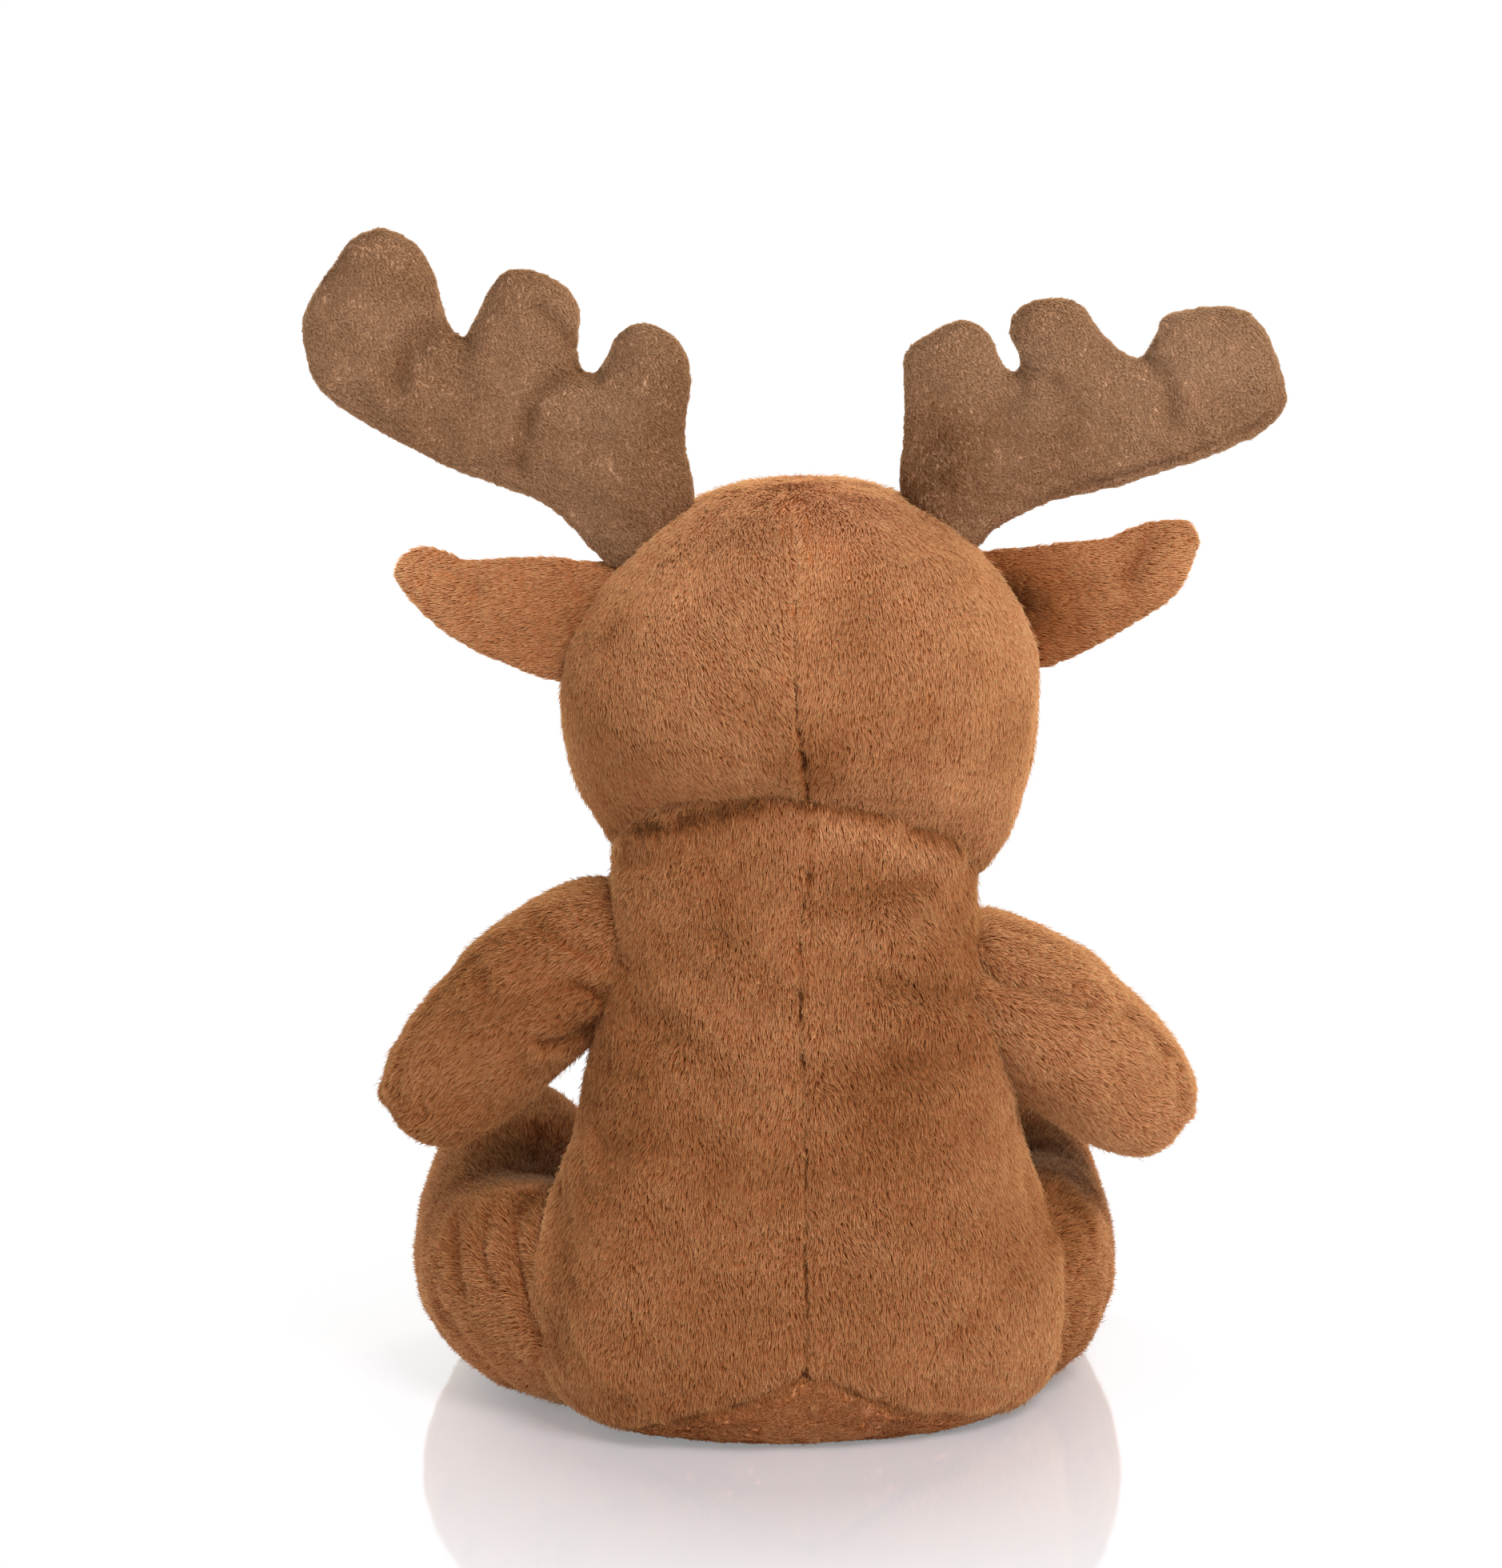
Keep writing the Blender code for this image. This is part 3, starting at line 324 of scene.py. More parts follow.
def pillow(name, outline, spacing, puff):
    """A flat bag of two faces cut to one outline and joined around their rim."""
    rim = cut_loop(outline, spacing)
    low, high = rim.min(0), rim.max(0)
    near = kdtree.KDTree(len(rim))
    for index, point in enumerate(rim):
        near.insert((point[0], point[1], 0), index)
    near.balance()
    inner = []
    for row, height in enumerate(np.arange(low[1], high[1], spacing * ROW_SHARE)):
        for across in np.arange(low[0] + spacing / 2 * (row % 2), high[0], spacing):
            clear = near.find((across, height, 0))[2] > spacing * RIM_CLEAR_SHARE
            if clear and inside((across, height), rim):
                inner.append((across, height))
    points = [Vector(point) for point in list(rim) + inner]
    edges = [(index, (index + 1) % len(rim)) for index in range(len(rim))]
    flat, _, triangles, *_ = delaunay_2d_cdt(points, edges, [], 1, 0.0001)
    flat = np.array([tuple(point) for point in flat])
    count = len(flat)
    distance = np.array([near.find((point[0], point[1], 0))[2] for point in flat])
    share = np.clip(distance / PUFF_REACH, 0, 1)
    rise = puff * np.sqrt(share * (2 - share))
    other = np.where(distance < ON_RIM, np.arange(count), np.arange(count) + count)
    solid = [(x, y, z) for (x, z), y in zip(flat, rise)] + [(x, -y, z) for (x, z), y in zip(flat, rise)]
    faces = [tuple(face) for face in triangles]
    faces += [tuple(int(other[corner]) for corner in reversed(face)) for face in triangles]
    thing = mesh_object(name, np.array(solid) * MM, faces)
    drop_loose(thing)
    return outward(thing)


def inside(point, loop):
    """Whether a point lies inside a closed outline."""
    after = np.roll(loop, -1, axis=0)
    run = after - loop
    crosses = (loop[:, 1] > point[1]) != (after[:, 1] > point[1])
    where = loop[:, 0] + (point[1] - loop[:, 1]) * run[:, 0] / (run[:, 1] + TINY)
    return int((crosses & (point[0] < where)).sum()) % 2 == 1


def drop_loose(thing):
    """Remove the points that no face uses."""
    def change(body):
        for point in [point for point in body.verts if not point.link_faces]:
            body.verts.remove(point)
    edit_mesh(thing, change)
    thing.data.shade_smooth()


def read_vectors(items, name):
    found = np.zeros(len(items) * 3)
    items.foreach_get(name, found)
    return found.reshape(-1, 3)


def positions(thing):
    return read_vectors(thing.data.vertices, "co")


def normals_of(thing):
    return read_vectors(thing.data.vertex_normals, "vector")


def set_positions(thing, points):
    thing.data.vertices.foreach_set("co", np.ascontiguousarray(points, dtype=np.float32).ravel())
    thing.data.update()


def refine(thing, times=1):
    """Subdivide a piece and keep the result as its mesh."""
    finer = thing.modifiers.new("finer", "SUBSURF")
    finer.levels = times
    finer.render_levels = times
    bpy.context.view_layer.update()
    result = thing.evaluated_get(bpy.context.evaluated_depsgraph_get())
    mesh = bpy.data.meshes.new_from_object(result)
    thing.modifiers.clear()
    thing.data = mesh
    thing.data.shade_smooth()


def keep_faces(thing, chosen, keep):
    """Keep only the faces whose centres are chosen, or only the others."""
    def change(body):
        picked = chosen(np.array([tuple(face.calc_center_median()) for face in body.faces]))
        gone = [face for face, pick in zip(body.faces, picked) if bool(pick) != keep]
        bmesh.ops.delete(body, geom=gone, context="FACES")
    edit_mesh(thing, change)
    thing.data.shade_smooth()


def split_off(thing, name, chosen):
    """Move the faces whose centres are chosen into a piece of their own."""
    other = add_object(name, thing.data.copy())
    keep_faces(thing, chosen, False)
    keep_faces(other, chosen, True)
    return other


def on_rim(points):
    """Which points of a flat bag lie on its sewn rim."""
    return np.abs(points[:, 1]) < ON_RIM * MM


# Stuffing: each bag is cloth that is blown up, with its held points kept

CLOTH_SETTINGS = {
    "quality": 6, "mass": 0.15, "tension_stiffness": 15, "compression_stiffness": 15, "shear_stiffness": 5,
    "bending_stiffness": 0.05, "use_pressure": True,
}


def blow_up(thing, pressure, frames, cap, held, slack=0.0):
    """Swell a bag as cloth under pressure without gravity, and keep the result."""
    before = positions(thing)
    cloth = thing.modifiers.new("stuffing", "CLOTH")
    settings = cloth.settings
    for name, value in CLOTH_SETTINGS.items():
        setattr(settings, name, value)
    settings.uniform_pressure_force = pressure
    settings.shrink_min = -slack
    settings.effector_weights.gravity = 0
    cloth.collision_settings.use_collision = False
    group = thing.vertex_groups.new(name="held")
    group.add(np.nonzero(held(before))[0].tolist(), 1.0, "REPLACE")
    settings.vertex_group_mass = "held"
    cloth.point_cache.frame_start = 1
    cloth.point_cache.frame_end = frames
    scene = bpy.context.scene
    for step in range(1, frames + 1):
        scene.frame_set(step)
    result = thing.evaluated_get(bpy.context.evaluated_depsgraph_get())
    move = read_vectors(result.data.vertices, "co") - before
    far = np.linalg.norm(move, axis=1)
    move *= np.minimum(1, cap / np.maximum(far, SMALL))[:, None]
    thing.modifiers.clear()
    thing.vertex_groups.clear()
    scene.frame_set(1)
    set_positions(thing, before + move)


# Seams and folds, pressed into a skin

def distance_to_line(points, line):
    """Distance of each point from a line of points, all in the same dimensions."""
    best = np.full(len(points), np.inf)
    for start, end in zip(line, line[1:]):
        way = end - start
        share = np.clip((points - start) @ way / max(way @ way, TINY), 0, 1)
        best = np.minimum(best, np.linalg.norm(points - start - share[:, None] * way, axis=1))
    return best


# A point outside the box round a line by more than this, in mm, counts as far away from the line
NEAR_LINE = 15
FAR_AWAY = 1e3
# How many points of a line are read for each of its own
LINE_FINENESS = 4
# A line fades where the skin faces it by less than this share, as if it were up to this much further, in mm
TURN_SHARE = 0.4
TURN_FADE = 7
# A flat bag's creases reach their full depth where its face lies this far from its middle plane
FLAT_FADE = 2.5 * MM
# Beside a groove the cloth swells by this share of its depth, this many widths away
SWELL_SHARE = 0.35
SWELL_AWAY = 2.0


def from_behind(points, line, facing, normals=None):
    """Distance in mm from a line as seen from behind, far away on the other side."""
    side = points if normals is None else normals
    toward = side[:, 1] * facing
    turned = 0 if normals is None else TURN_FADE * np.clip(TURN_SHARE - toward, 0, 1) / TURN_SHARE
    flat = points[:, [0, 2]] / MM
    fine = smooth_rows(line, len(line) * LINE_FINENESS)
    low, high = fine.min(0) - NEAR_LINE, fine.max(0) + NEAR_LINE
    close = (toward > 0) & np.all((flat > low) & (flat < high), axis=1)
    far = np.full(len(points), FAR_AWAY)
    far[close] = distance_to_line(flat[close], fine)
    return far + turned


def press_lines(thing, lines, facing, flat=False):
    """Press grooves into the side that faces back or front: line, depth and width in mm."""
    points = positions(thing)
    normals = normals_of(thing)
    ways = normals
    if flat:
        ways = np.zeros_like(points)
        ways[:, 1] = facing * np.clip(np.abs(points[:, 1]) / FLAT_FADE, 0, 1)
    for line, depth, width in lines:
        far = from_behind(points, line, facing, normals)
        groove = -depth * np.exp(-(far / width) ** 2)
        swell = SWELL_SHARE * depth * np.exp(-((far - SWELL_AWAY * width) / width) ** 2)
        points = points + ways * ((groove + swell) * MM)[:, None]
    set_positions(thing, points)


def push(thing, place, radius, way):
    """Move the skin near a place by a vector in mm, fading with the distance."""
    points = positions(thing)
    near = np.exp(-(np.linalg.norm(points / MM - np.array(place), axis=1) / radius) ** 2)
    set_positions(thing, points + near[:, None] * np.array(way) * MM)


def ripple(thing, size, amount, seed):
    """Uneven stuffing: a soft swell and dip over a skin."""
    points = positions(thing)
    normals = normals_of(thing)
    shift = Vector((seed * 3.7, seed * 1.3, seed * 2.9))
    swell = np.array([noise.noise(Vector(point) / size + shift) for point in points])
    set_positions(thing, points + normals * (swell * amount)[:, None])


# Fur

def sample_surface(thing, density, seed):
    """Random points of a mesh with their normals, by area."""
    mesh = thing.data
    mesh.calc_loop_triangles()
    count = len(mesh.loop_triangles)
    corners = np.zeros(count * 3, np.int32)
    mesh.loop_triangles.foreach_get("vertices", corners)
    corners = corners.reshape(-1, 3)
    points = positions(thing)
    normals = normals_of(thing)
    first, second, third = (points[corners[:, index]] for index in range(3))
    area = np.linalg.norm(np.cross(second - first, third - first), axis=1) / 2
    total = int(area.sum() / MM ** 2 * density)
    draw = np.random.default_rng(seed)
    chosen = draw.choice(count, total, p=area / area.sum())
    along, across = draw.random(total), draw.random(total)
    flip = along + across > 1
    along[flip], across[flip] = 1 - along[flip], 1 - across[flip]
    weights = np.stack([1 - along - across, along, across], axis=1)
    picked = corners[chosen]
    place = (points[picked] * weights[:, :, None]).sum(1)
    normal = (normals[picked] * weights[:, :, None]).sum(1)
    normal /= np.linalg.norm(normal, axis=1)[:, None]
    return place, normal, draw


def soft_noise(points, size, seed):
    """A smooth random field, from a few crossed waves."""
    draw = np.random.default_rng(seed)
    total = np.zeros(len(points))
    for _ in range(14):
        way = draw.normal(size=3)
        way /= np.linalg.norm(way)
        total += np.sin(points @ way * (2 * math.pi / (size * draw.uniform(0.7, 1.6))) + draw.uniform(0, 6.3))
    return total / math.sqrt(7)


# Soft patches in which the pile wanders, changes its length, its stand and its tint: their size in metres
# and how much they change
BROAD_WANDER = (0.016, 0.14)
FINE_WANDER = (0.005, 0.10)
LENGTH_DRIFT = (0.009, 0.1)
STAND_DRIFT = (0.016, 0.13)
BROAD_TINT = (0.05, 1)
FINE_TINT = (0.014, 0.45)
# How much the tint drifts over the cloth
BLOTCH = 0.035
# The shortest strand as a share of the pile's length, and how much longer others are
SHORTEST_SHARE = 0.75
LENGTH_SPREAD = 0.45
# Strands that stand out of the pile and blur its outline
FLYAWAY_SHARE = 0.07
FLYAWAY_STAND = 1.8
# Tufts are longer along the grain than across it, and their borders are blurred
TUFT_STRETCH = 2.2
TUFT_BLUR = 0.2
TUFT_FACTORS = (73856093, 19349663, 83492791)
# A strand rises from its root before it bends over: its rise, what its stand adds to, and its reach
KNEE_RISE = 0.3
KNEE_STAND = 0.4
KNEE_REACH = 0.25
STRAND_STEPS = [0, 0.33, 0.67, 1.0]
STRAND_TAPER = [1.0, 0.95, 0.8, 0.4]
PLUSH_PILE = {
    "length": 2.7 * MM, "density": 9.5, "width": 0.15 * MM, "tuft": 0.5 * MM, "pull": 0.3, "lift": 0.5,
    "vary": 0.17, "wander": 0.8, "stray": 0.15,
}
HEAD_PILE = dict(PLUSH_PILE, length=2.4 * MM, pull=0.2, lift=0.42, vary=0.1, stray=0.1, wander=0.55)
LIMB_PILE = dict(PLUSH_PILE, vary=0.2, pull=0.34, stray=0.18)
EAR_PILE = dict(
    PLUSH_PILE, length=2.0 * MM, density=12.0, pull=0.08, lift=0.26, vary=0.04, stray=0.06, wander=0.3)
GUSSET_PILE = dict(PLUSH_PILE, length=1.6 * MM, lift=0.35)
MUZZLE_PILE = dict(PLUSH_PILE, length=2.0 * MM)
VELOUR_PILE = {
    "length": 1.0 * MM, "density": 12.0, "width": 0.13 * MM, "tuft": 0.36 * MM, "pull": 0.34, "lift": 0.42,
    "vary": 0.3, "wander": 0.4, "stray": 0.12,
}


def drift(place, patch, seed):
    """A smooth random change over the cloth, in patches of a size and by an amount."""
    size, amount = patch
    return amount * soft_noise(place, size, seed)


def comb(place, normal, lay, wandering, seed):
    """The way the pile lies at each root, along the surface."""
    broad = np.stack([drift(place, BROAD_WANDER, seed + axis) for axis in range(3)], axis=1)
    fine = np.stack([drift(place, FINE_WANDER, seed + 9 + axis) for axis in range(3)], axis=1)
    way = lay(place) + (broad + fine) * wandering
    way -= normal * (way * normal).sum(1)[:, None]
    return way / (np.linalg.norm(way, axis=1)[:, None] + SMALL)


def tufts(place, size, grain, draw):
    """The number of the long tuft that each root belongs to, and each tuft's count."""
    grain = np.array(grain, float) / np.linalg.norm(grain)
    along = (place @ grain)[:, None] * grain
    cell = (place - along * (1 - 1 / TUFT_STRETCH)) / size
    cell = np.floor(cell + TUFT_BLUR * draw.normal(size=place.shape)).astype(np.int64)
    first, second, third = (cell * TUFT_FACTORS).T
    _, tuft = np.unique(first ^ second ^ third, return_inverse=True)
    return tuft, np.bincount(tuft)


def grow_fur(skin, pile, material, lay, seed, marks=None, shade=0.0, grain=(0, 0, 1)):
    """Strands over a skin, lying along its comb direction, drawn together in tufts."""
    density, width = pile["density"], pile["width"]
    place, normal, draw = sample_surface(skin, density, seed)
    count = len(place)
    way = comb(place, normal, lay, pile["wander"], seed)
    size = pile["length"] * (SHORTEST_SHARE + LENGTH_SPREAD * draw.random(count))
    size *= 1 + drift(place, LENGTH_DRIFT, seed + 30)
    stand = pile["lift"] * (1 + drift(place, STAND_DRIFT, seed + 40))
    # shade is the piece's painted shade and the drift is random tone; the marks add painted shade at seams,
    # folds and hollows, and painted shade and highlights in patches
    tint = shade + BLOTCH * (drift(place, BROAD_TINT, 5) + drift(place, FINE_TINT, 6))
    if marks is not None:
        short, upright, deep = marks(place, normal)
        size *= short
        stand += upright
        tint -= deep
    loose = draw.random(count) < FLYAWAY_SHARE
    stand[loose] *= FLYAWAY_STAND
    stray = draw.normal(size=(count, 3))
    stray -= normal * (stray * normal).sum(1)[:, None]
    tip = normal * stand[:, None] + way + stray * pile["stray"]
    tip = tip / np.linalg.norm(tip, axis=1)[:, None] * size[:, None]
    tuft, number = tufts(place, pile["tuft"], grain, draw)
    ends = place + tip
    middle = np.stack([np.bincount(tuft, ends[:, axis]) / number for axis in range(3)], axis=1)[tuft]
    ends += (middle - ends) * (pile["pull"] * ~loose)[:, None]
    rise = normal * (size * KNEE_RISE * (KNEE_STAND + stand))[:, None]
    knee = place + rise + (ends - place) * KNEE_REACH
    share = np.array(STRAND_STEPS)[None, :, None]
    start, bend, end = place[:, None], knee[:, None], ends[:, None]
    strands = start * (1 - share) ** 2 + bend * 2 * share * (1 - share) + end * share ** 2
    speck = draw.random(count) + draw.random(len(number))[tuft] - 1
    tint = EVEN_TINT + tint + pile["vary"] * speck
    hair_object(skin, strands, width, np.clip(tint, 0, 1), material)


def hair_object(skin, strands, width, tint, material):
    """The strands as a child of their skin, each with its tint."""
    count, steps = strands.shape[:2]
    curves = bpy.data.hair_curves.new(skin.name + "_pile")
    curves.add_curves([steps] * count)
    curves.position_data.foreach_set("vector", strands.astype(np.float32).ravel())
    taper = np.array(STRAND_TAPER, np.float32) * width / 2
    radius = curves.attributes.new("radius", "FLOAT", "POINT")
    radius.data.foreach_set("value", np.tile(taper, count).astype(np.float32))
    level = curves.attributes.new("tint", "FLOAT", "CURVE")
    level.data.foreach_set("value", tint.astype(np.float32))
    curves.materials.append(material)
    add_object(skin.name + "_pile", curves).parent = skin


# Materials

def new_material(name):
    material = bpy.data.materials.new(name)
    material.use_nodes = True
    material.node_tree.nodes.clear()
    return material, material.node_tree


def add_node(tree, kind, inputs=None, **settings):
    """A shader node with its settings, and with inputs that are values or linked sockets."""
    node = tree.nodes.new("ShaderNode" + kind)
    for name, value in settings.items():
        setattr(node, name, value)
    for name, value in (inputs or {}).items():
        if isinstance(value, bpy.types.NodeSocket):
            tree.links.new(value, node.inputs[name])
        else:
            node.inputs[name].default_value = value
    return node


def ramp(tree, level, colours, stops=None):
    """The colour that a ramp gives for a level, with its stops spread evenly unless given."""
    node = add_node(tree, "ValToRGB", {"Fac": level})
    elements = node.color_ramp.elements
    while len(elements) < len(colours):
        elements.new(0.5)
    for element, stop, colour in zip(elements, stops or np.linspace(0, 1, len(colours)), colours):
        element.position = stop
        element.color = colour
    return node.outputs["Color"]


def mix_shaders(tree, share, first, second):
    mix = add_node(tree, "MixShader", {"Fac": share, 1: first, 2: second})
    return mix.outputs["Shader"]


def strand_material(name, colours):
    """Pile: darker at the root, lighter at the tip, each tuft its own tint, which also carries painted shade
    and painted highlights.
    """
    material, tree = new_material(name)
    info = add_node(tree, "HairInfo")
    along = ramp(tree, info.outputs["Intercept"], colours, STRAND_STOPS)
    tint = add_node(tree, "Attribute", attribute_name="tint")
    level = ramp(tree, tint.outputs["Fac"], TINTS, TINT_STOPS)
    both = add_node(tree, "VectorMath", {0: along, 1: level}, operation="MULTIPLY").outputs["Vector"]
    shader = add_node(tree, "BsdfPrincipled", {
        "Roughness": 0.6, "Specular IOR Level": 0.07, "Base Color": both})
    golden = add_node(tree, "Mix", {"Factor": 0.4, 6: both, 7: GLOW}, data_type="RGBA")
    through = add_node(tree, "BsdfTranslucent", {"Color": golden.outputs[2]})
    strand = mix_shaders(tree, 0.38, shader.outputs["BSDF"], through.outputs["BSDF"])
    add_node(tree, "OutputMaterial", {"Surface": strand})
    return material


def cloth_material(name, colours, grain, bump):
    """The backing under the pile, mottled and grained like short plush."""
    material, tree = new_material(name)
    place = add_node(tree, "TexCoord").outputs["Object"]
    stretch = add_node(tree, "Mapping", {"Scale": (1, 1, 0.35), "Vector": place}).outputs["Vector"]
    fine = add_node(tree, "TexNoise", {"Scale": grain, "Detail": 4, "Vector": stretch}).outputs["Fac"]
    broad = add_node(tree, "TexNoise", {"Scale": grain * 0.06, "Vector": place}).outputs["Fac"]
    both = add_node(tree, "Math", {0: broad, 1: 0.45, 2: fine}, operation="MULTIPLY_ADD")
    relief = add_node(tree, "Bump", {"Strength": bump, "Distance": 0.0006, "Height": fine})
    shader = add_node(tree, "BsdfPrincipled", {
        "Base Color": ramp(tree, both.outputs["Value"], colours[:3], CLOTH_STOPS),
        "Roughness": 0.92, "Specular IOR Level": 0.2, "Sheen Weight": 0.03, "Sheen Roughness": 0.45,
        "Normal": relief.outputs["Normal"]})
    add_node(tree, "OutputMaterial", {"Surface": shader.outputs["BSDF"]})
    return material


def plastic_material(name, colour, roughness):
    """Moulded plastic with a faint unevenness in its gloss."""
    material, tree = new_material(name)
    place = add_node(tree, "TexCoord").outputs["Object"]
    speck = add_node(tree, "TexNoise", {"Scale": 900, "Vector": place}).outputs["Fac"]
    darker = tuple(value * 0.8 for value in colour[:3]) + (1,)
    gloss = add_node(tree, "MapRange", {
        "Value": speck, "To Min": roughness * 0.8, "To Max": roughness * 1.25})
    shader = add_node(tree, "BsdfPrincipled", {
        "Base Color": ramp(tree, speck, [darker, colour]), "Roughness": gloss.outputs["Result"]})
    add_node(tree, "OutputMaterial", {"Surface": shader.outputs["BSDF"]})
    return material


STRANDS = {
    "brown": strand_material("brown_pile", BROWN),
    "taupe": strand_material("taupe_pile", TAUPE),
    "pale": strand_material("pale_pile", PALE),
}
CLOTHS = {
    "brown": cloth_material("brown_plush_cloth", BROWN, 900, 0.6),
    "taupe": cloth_material("taupe_velour_cloth", TAUPE, 1500, 0.45),
    "pale": cloth_material("pale_plush_cloth", PALE, 900, 0.6),
}
SEAM_CLOTH = cloth_material("seam_cloth", SEAM, 1800, 0.6)


def finish_piece(skin, kind, body_name, nodes):
    """Give a skin its cloth and its body, and hide the soft solids that it stands for."""
    skin.data.materials.clear()
    skin.data.materials.append(CLOTHS[kind])
    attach(skin, body_name)
    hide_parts(*nodes)


# Which way the pile lies, and where it parts

def lay_straight(way):
    """The same way all over a piece."""
    def lay(place):
        return np.tile(way, (len(place), 1))
    return lay


def lay_along(start, end, droop=0.0):
    """Along a limb from its seam to its end, drooping by a share."""
    way = np.array(end, float) - np.array(start, float)
    return lay_straight(way / np.linalg.norm(way) + np.array([0, 0, -droop]))


LAY_DOWN = lay_straight([0.0, 0.0, -1.0])
# The antlers' velour is brushed aslant
SLANT = (-0.75, 0, -0.66)
# Where the pile of the head begins to lie back, and how far up it does so in full
CROWN_FROM = 205 * MM
CROWN_REACH = 30 * MM
# How much a parting turns the pile away from it
PARTING_SHARE = 0.4


def lay_head(place):
    """Back over the crown and down, drawn towards the back seam on the left half."""
    lean = np.where(place[:, 0] > 0, -0.5, 0.14)
    top = np.clip((place[:, 2] - CROWN_FROM) / CROWN_REACH, 0, 1)
    return np.stack([lean * (1 - top), 0.15 * top, np.full(len(place), -0.9)], axis=1)


def lay_under(place):
    """Forward under the seat, and a little inward."""
    way = np.tile([0.0, -0.6, 0.8], (len(place), 1))
    way[:, 0] = -0.2 * np.sign(place[:, 0])
    return way


def parted(lay, whorls):
    """A lay that turns away from the places where the pile parts."""
    def turned(place):
        way = lay(place)
        for across, height, radius in whorls:
            away = (place / MM - np.array([across, 0, height])) / radius
            away[:, 1] = 0
            near = np.exp(-(away ** 2).sum(1)) * (place[:, 1] > 0)
            way = way * (1 - PARTING_SHARE * near)[:, None] + away * near[:, None] * PARTING_SHARE
        return way
    return turned


# At a seam: how its pile breaks up and is ragged, as size in metres and amount, and how much darker it is
# painted, as painted shade in the seam's groove
SEAM_BREAKS = (0.007, 0.5)
SEAM_WHOLE = 0.65
SEAM_FADE = 0.8
SEAM_RAGGED = (0.004, 0.3)
SEAM_SHADE = 0.34
# Where the pile parts, and at a fold by the mm of its depth: how it stands up and how much darker it is
# painted, at a fold as painted shade and on a ridge as a painted highlight
WHORL_STAND = 0.25
WHORL_DEEP = 0.06
FOLD_STAND = 0.08
FOLD_SHADE = 0.055
FOLD_REACH = 1.1
# A soft spot is uneven, as size in metres and amount, and fades where the skin turns to the front
SPOT_UNEVEN = (0.012, 0.12)
SPOT_TURN = 0.5
SPOT_FADE = 0.7


def pile_marks(seams=(), whorls=(), creases=(), light_patches=(), hollows=()):
    """Shorter pile at seams and raised pile where it parts or folds; darker pile where it parts, painted
    shade at seams, folds and hollows, and painted shade and highlights in patches.
    """
    def marks(place, normal):
        short = np.ones(len(place))
        upright = np.zeros(len(place))
        deep = np.zeros(len(place))
        uneven = drift(place, SPOT_UNEVEN, 61)
        broken = np.clip(SEAM_WHOLE + drift(place, SEAM_BREAKS, 71), 0.1, 1.2)
        for line, facing, width, cut in seams:
            far = from_behind(place, line, facing, normal) + drift(place, SEAM_RAGGED, 51)
            near = np.exp(-(far / width) ** 2) * broken ** (SEAM_FADE / width)
            short *= 1 - np.clip(cut * near, 0, 0.9)
            # Painted shade in the seam's groove
            deep += SEAM_SHADE * near
        for spot in whorls:
            near = spot_share(place, normal, spot, uneven)
            upright += WHORL_STAND * near
            deep += WHORL_DEEP * near
        for line, depth, width in creases:
            near = np.exp(-(from_behind(place, line, 1, normal) / (width * FOLD_REACH)) ** 2)
            upright += FOLD_STAND * abs(depth) * near
            # Painted shade in a fold, and a painted highlight on a ridge
            deep += FOLD_SHADE * depth * near
        for *spot, amount in light_patches:
            # Painted shade and painted highlights
            deep += amount * spot_share(place, normal, spot, uneven)
        for centre, radius, amount in hollows:
            away = np.linalg.norm(place / MM - np.array(centre), axis=1) / radius
            # Painted shade in the hollow
            deep += amount * np.exp(-away ** 2)
        return short, upright, deep
    return marks


def spot_share(place, normal, spot, uneven):
    """How much a root belongs to a soft uneven spot on the side seen from behind."""
    across, height, radius = spot
    away = ((place[:, 0] / MM - across) ** 2 + (place[:, 2] / MM - height) ** 2) / radius ** 2
    behind = np.clip((normal[:, 1] + SPOT_TURN) / SPOT_FADE, 0, 1)
    return np.exp(-away * np.clip(1 + uneven, 0.6, 1.4)) * behind


# The pieces

BACK_SEAM = [(-1, 239), (-3, 225), (-1, 196), (-4, 166), (-3, 147), (0, 127), (0, 87), (1, 47), (2, 22)]
NECK_SEAM = [
    (46, 149), (42, 154), (26, 160), (12, 164), (1, 165), (-13, 163), (-30, 155), (-43, 146), (-48, 141),
]
SEAT_SEAM = [(66, 3), (44, 6), (30, 11), (17, 16), (2, 22), (-12, 16.5), (-26, 10), (-40, 6), (-62, 3)]
TORSO_CREASES = [
    ([(-8, 157), (-24, 152.5), (-38, 146)], -0.8, 3.5), ([(-4, 139), (-16, 141), (-30, 142)], 2.0, 3.4),
    ([(-20, 121), (-28, 117), (-38, 112), (-47, 106)], 2.2, 3.2),
    ([(-22, 101), (-30, 98), (-38, 99)], 1.4, 4.0), ([(18, 134), (13.5, 130), (8, 126)], 1.2, 3.6),
    ([(36, 106), (30, 108), (25, 106)], 1.2, 4.0), ([(44, 146), (30, 151), (16, 156)], 1.0, 3.0),
    ([(61, 66), (60, 52), (61, 38), (64, 26)], 2.2, 4.5), ([(-57, 64), (-59, 54), (-61, 46)], 1.8, 4.5),
]
TORSO_WHORLS = [(-6, 54, 13), (-3, 96, 8), (-22, 139.5, 9), (27, 106, 7), (20, 128, 8), (-26, 118, 9)]
HEAD_WHORLS = [(-7, 176, 12)]
MOUTH_LINES = {
    "mouth_middle": [(0, 177), (0, 173), (0, 168)],
    "mouth_left": [(0, 168), (5, 164), (12, 164.5)],
    "mouth_right": [(0, 168), (-5, 164), (-12, 164.5)],
}
FACE_SEAM = [(0, 236), (0, 222), (0, 208), (0, 199)]
